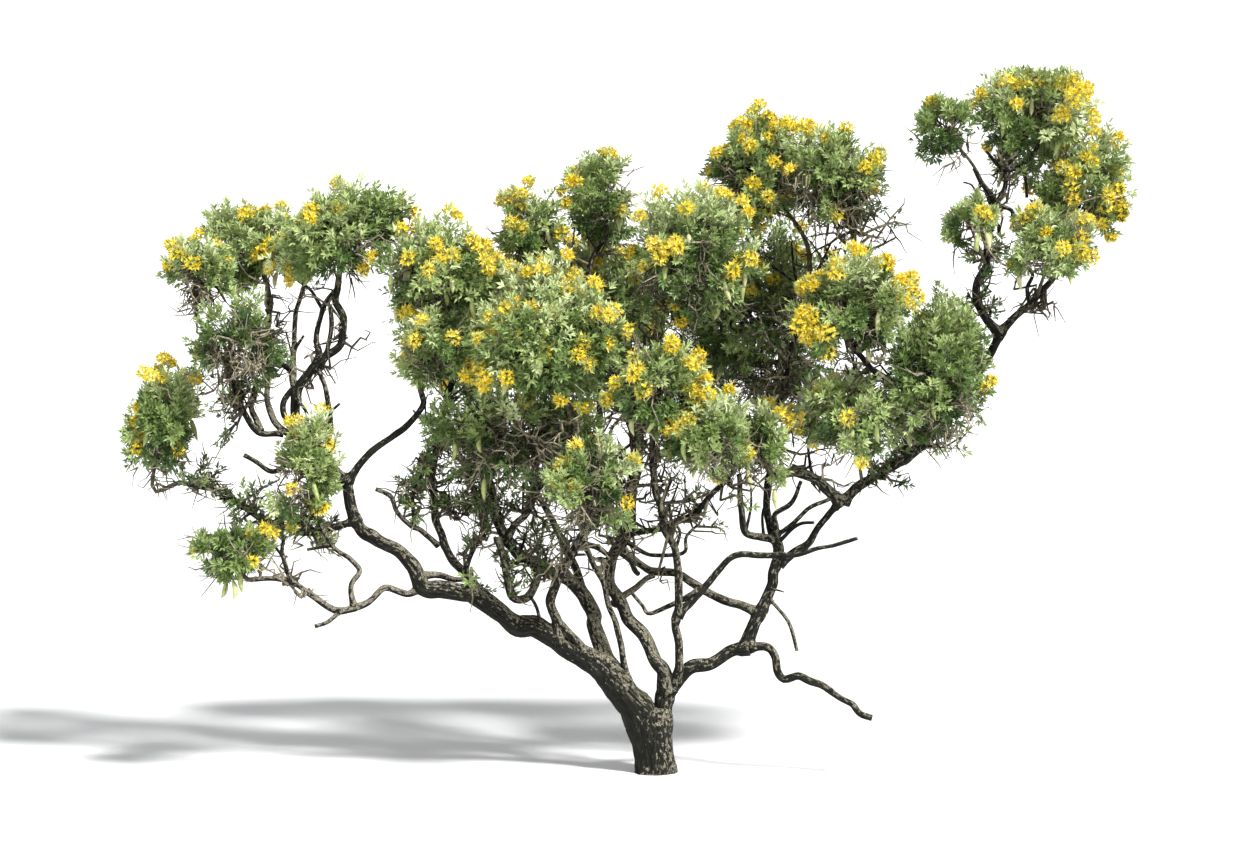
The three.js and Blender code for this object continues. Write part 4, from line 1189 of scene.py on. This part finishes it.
def grow_mass(row, seed, space, others, foliage):
    """Stem, twigs, sprays of leafy shoots, flower heads and pods of one mass."""
    rng = np.random.default_rng(seed)
    leaves = foliage.leaf_pile(row.name)
    wood = add_main_wood(row, seed, space, foliage, rng)
    add_tangle(foliage.dry_twigs, row, space, wood, rng)
    directions, reach, blooming = spray_places(row, seed, space, rng)
    branchlets = add_branchlets(foliage.twigs, space, directions, reach, wood, rng)
    # Painted sunlight: sunnier sprays get lighter leaf tints, shaded ones darker.
    sun = painted_sunlight(row, directions, reach, rng)
    spray, feet, tips = shoot_ends(row, space, others, (directions, reach), branchlets, foliage, rng)
    paths, middles = curved_twigs(feet, tips, SHOOT, rng)
    add_twigs(foliage.shoots, paths, SHOOT, 0)
    add_leaves(leaves, feet, middles, tips, leaf_tints(sun[spray], rng), rng)
    add_heads(foliage.flowers, row, space, blooming[spray], middles, tips, rng)
    add_pods(foliage.pods, reach[spray], middles, rng)


def grow_limb_twigs(foliage):
    """Dry branching twigs along the limbs, some with a few leaves."""
    rng = np.random.default_rng(len(foliage.limbs))
    leaves = foliage.leaf_pieces[-1][0]
    for name, first, last, count, leafy_share, length in LIMB_TWIGS:
        path = limb_named(foliage.limbs, name).path
        feet = at_shares(path, rng.uniform(first, last, count))
        outward = random_directions(count, LIMB_TWIG.rise, rng)
        spans = length * MM * rng.uniform(*LIMB_TWIG.lengths, (count, 1))
        tips = within_box(feet + outward * spans, feet)
        middles = add_dry_twigs(foliage.dry_twigs, feet, tips, LIMB_TWIG, rng)
        leafy = rng.random(count) < leafy_share
        if leafy.any():
            # Painted shade: these leaves take only the shadiest leaf tints.
            tints = rng.integers(0, LIMB_TWIG.leaf_tints, leafy.sum())
            add_leaves(leaves, feet[leafy], middles[leafy], tips[leafy], tints, rng)


def grow_foliage(limbs):
    foliage = Foliage(limbs)
    spaces = [Space(row) for row in MASSES]
    for seed, (row, space) in enumerate(zip(MASSES, spaces), start=1):
        others = [other for other in spaces if other is not space]
        grow_mass(row, seed, space, others, foliage)
    grow_limb_twigs(foliage)
    return foliage


# Materials

class Shader:
    """A material's nodes, made one at a time and wired up."""

    def __init__(self, name, roughness, specular):
        self.material = bpy.data.materials.new(name)
        self.material.use_nodes = True
        self.tree = self.material.node_tree
        self.surface = self.tree.nodes["Principled BSDF"].inputs
        self.set(self.surface["Roughness"], roughness)
        self.set(self.surface["Specular IOR Level"], specular)

    def set(self, socket, value):
        """Wires an input to another node's output, or gives it a plain value."""
        if isinstance(value, bpy.types.NodeSocket):
            self.tree.links.new(value, socket)
        else:
            socket.default_value = value

    def node(self, kind, inputs, **settings):
        """The outputs of a new node with these settings and inputs."""
        node = self.tree.nodes.new(f"ShaderNode{kind}")
        for key, value in settings.items():
            setattr(node, key, value)
        for key, value in inputs.items():
            self.set(node.inputs[key], value)
        return node.outputs

    def coordinates(self, kind):
        return self.node("TexCoord", {})[kind]

    def attribute(self, name):
        return self.node("Attribute", {}, attribute_name=name)["Vector"]

    def noise(self, vector, scale, detail, stretch=None):
        if stretch:
            vector = self.node("Mapping", {"Vector": vector, "Scale": stretch})["Vector"]
        return self.node("TexNoise", {"Vector": vector, "Scale": scale, "Detail": detail})["Fac"]

    def facing(self, direction):
        """How far the surface faces a direction, from -1 to 1."""
        inputs = {0: self.coordinates("Normal"), 1: direction}
        return self.node("VectorMath", inputs, operation="DOT_PRODUCT")["Value"]

    def plus(self, first, second, share):
        """The first value and a share of the second."""
        return self.node("Math", {0: second, 1: share, 2: first}, operation="MULTIPLY_ADD")["Value"]

    def ramp(self, factor, *stops):
        """A colour for each value, from stops of a value and its colour."""
        node = self.tree.nodes.new("ShaderNodeValToRGB")
        elements = node.color_ramp.elements
        for position, _ in stops[1:-1]:
            elements.new(position)
        for element, (position, colour) in zip(elements, stops):
            element.position = position
            element.color = colour
        self.set(node.inputs["Fac"], factor)
        return node.outputs["Color"]

    def mix(self, factor, first, second):
        """The first colour passing to the second."""
        return self.node("Mix", {"Factor": factor, "A": first, "B": second}, data_type="RGBA")["Result"]

    def bump(self, height, strength, distance):
        inputs = {"Height": height, "Strength": strength, "Distance": distance}
        self.set(self.surface["Normal"], self.node("Bump", inputs)["Normal"])

    def colour(self, socket):
        self.set(self.surface["Base Color"], socket)


def bark_material(name, lichen_and_sun_start):
    """Grey-brown bark with long dark cracks and a little moss. Lichen speckles it pale, more on the side
    facing the sun, which paints sunlight there and shade on the undersides.
    """
    shader = Shader(name, **BARK_FINISH)
    grain = shader.attribute("grain")
    streaks = shader.noise(grain, **STREAKS)
    wood = shader.ramp(streaks, *WOOD_STOPS)
    # How far the bark faces the sun is added to the lichen patches: painted sunlight on the sunny side,
    # painted shade below.
    lichen_and_sun_factor = shader.plus(shader.noise(grain, **PATCHES), shader.facing(SUNNY_SIDE), SUNNY_SHARE)
    lichen_and_sun_mask = shader.ramp(lichen_and_sun_factor, (lichen_and_sun_start, BLACK), (lichen_and_sun_start + LICHEN_AND_SUN_EDGE, WHITE))
    pale = shader.ramp(shader.noise(grain, **SPECKLES), *LICHEN_STOPS)
    lichen_and_sunlit_bark = shader.mix(lichen_and_sun_mask, wood, pale)
    damp = shader.ramp(shader.noise(grain, **DAMP), *MOSS_STOPS)
    shader.colour(shader.mix(damp, lichen_and_sunlit_bark, MOSS))
    shader.bump(streaks, **BARK_BUMP)
    return shader.material


def mottled_material(name, tints, scale, roughness, specular):
    """A living surface in two close tints, with a fine uneven skin."""
    shader = Shader(name, roughness, specular)
    space = shader.coordinates("Object")
    patches = shader.noise(space, scale, MOTTLE.detail)
    shader.colour(shader.ramp(patches, (MOTTLE.low, tints[0]), (MOTTLE.high, tints[1])))
    shader.bump(shader.noise(space, scale * SKIN.finer, SKIN.detail), **SKIN_BUMP)
    return shader.material


def tinted_materials(kind, tints, **finish):
    """One material for each tint of a kind."""
    return [mottled_material(f"{kind}_{i}", pair, **finish) for i, pair in enumerate(tints)]


# Pieces, stage, light and camera

def make_wood(limbs):
    pile = Pile()
    for grown in limbs:
        pile.add(grown.points, grown.faces, int(grown.pale), grown.grain)
    names = ["trunk"] + [row.name for row in LIMBS]
    barks = [bark_material(name, start) for name, start in LICHEN_AND_SUN_STARTS.items()]
    make_piece("limbs", pile, barks, True, names)


def make_foliage(foliage):
    materials = {kind: tinted_materials(kind, **finish) for kind, finish in FINISHES.items()}
    for i, (pile, names) in enumerate(foliage.leaf_pieces, start=1):
        make_piece(f"leaves_{i}", pile, materials["leaf"], False, names)
    make_piece("twigs", foliage.twigs, materials["twig"], True)
    for i, pile in enumerate(foliage.dry_twigs.parted(), start=1):
        make_piece(f"dry_twigs_{i}", pile, materials["twig"], True)
    make_piece("shoots", foliage.shoots, materials["shoot"], True)
    make_piece("flowers", foliage.flowers, materials["petal"], False)
    make_piece("pods", foliage.pods, materials["pod"], True)


def floor_profile():
    """The floor's rings from its flat middle to its rim: how far out each is, and how high."""
    bend = np.linspace(0, FLOOR.slope, FLOOR.steps)
    reach = FLOOR.flat + FLOOR.curve * np.sin(bend)
    heights = FLOOR.curve * (1 - np.cos(bend))
    rim_height = heights[-1] + (FLOOR.rim - reach[-1]) * math.tan(FLOOR.slope)
    return [*reach, FLOOR.rim], [*heights, rim_height]


def make_floor():
    """A pale round floor that rises gently on all sides."""
    angles = ring_angles(FLOOR.sides)
    rings = [around(reach, angles, height) for reach, height in zip(*floor_profile())]
    faces = tube_faces(len(rings), FLOOR.sides)[:-FLOOR.sides]
    mesh = bpy.data.meshes.new("floor")
    mesh.from_pydata(np.vstack([*rings, np.zeros((1, 3))]).tolist(), [], faces.tolist())
    mesh.shade_smooth()
    shader = Shader("floor", **PAPER_FINISH)
    shader.colour(shader.ramp(shader.noise(shader.coordinates("Object"), **PAPER), *PAPER_STOPS))
    mesh.materials.append(shader.material)
    piece = add_object("floor", mesh)


def add_light(name, kind, energy, position, target, size):
    """A sun with its angle, or a round lamp with its width, aimed at a point."""
    light = bpy.data.lights.new(name, kind)
    light.energy = energy
    if kind == "SUN":
        light.angle = size
    else:
        light.shape = "DISK"
        light.size = size
    piece = add_object(name, light)
    piece.location = position
    aim = unit(np.array(target, dtype=float) - np.array(position))
    piece.rotation_euler = (math.acos(-aim[2]), 0, math.atan2(aim[1], aim[0]) - math.pi / 2)


def make_lights():
    add_light("sun", "SUN", **SUN_LAMP)
    add_light("soft_front", "AREA", **FRONT_LAMP)
    bpy.context.scene.view_settings.view_transform = "Standard"
    world = bpy.data.worlds.new("sky")
    bpy.context.scene.world = world
    world.use_nodes = True
    background = world.node_tree.nodes["Background"]
    for socket, value in SKY.items():
        background.inputs[socket].default_value = value


def make_camera():
    camera = bpy.data.cameras.new("camera")
    camera.sensor_width = SENSOR_MM
    camera.lens = SENSOR_MM * EYE.distance * PHOTO.px_per_mm / PHOTO.width_px
    camera.clip_end = CLIP_END_M
    piece = add_object("camera", camera)
    piece.location = np.array([EYE.side, -EYE.distance, EYE.height]) * MM
    piece.rotation_euler = (math.pi / 2, 0, 0)
    bpy.context.scene.camera = piece


make_camera()
grown_limbs = grow_limbs()
make_wood(grown_limbs)
make_foliage(grow_foliage(grown_limbs))
make_floor()
make_lights()
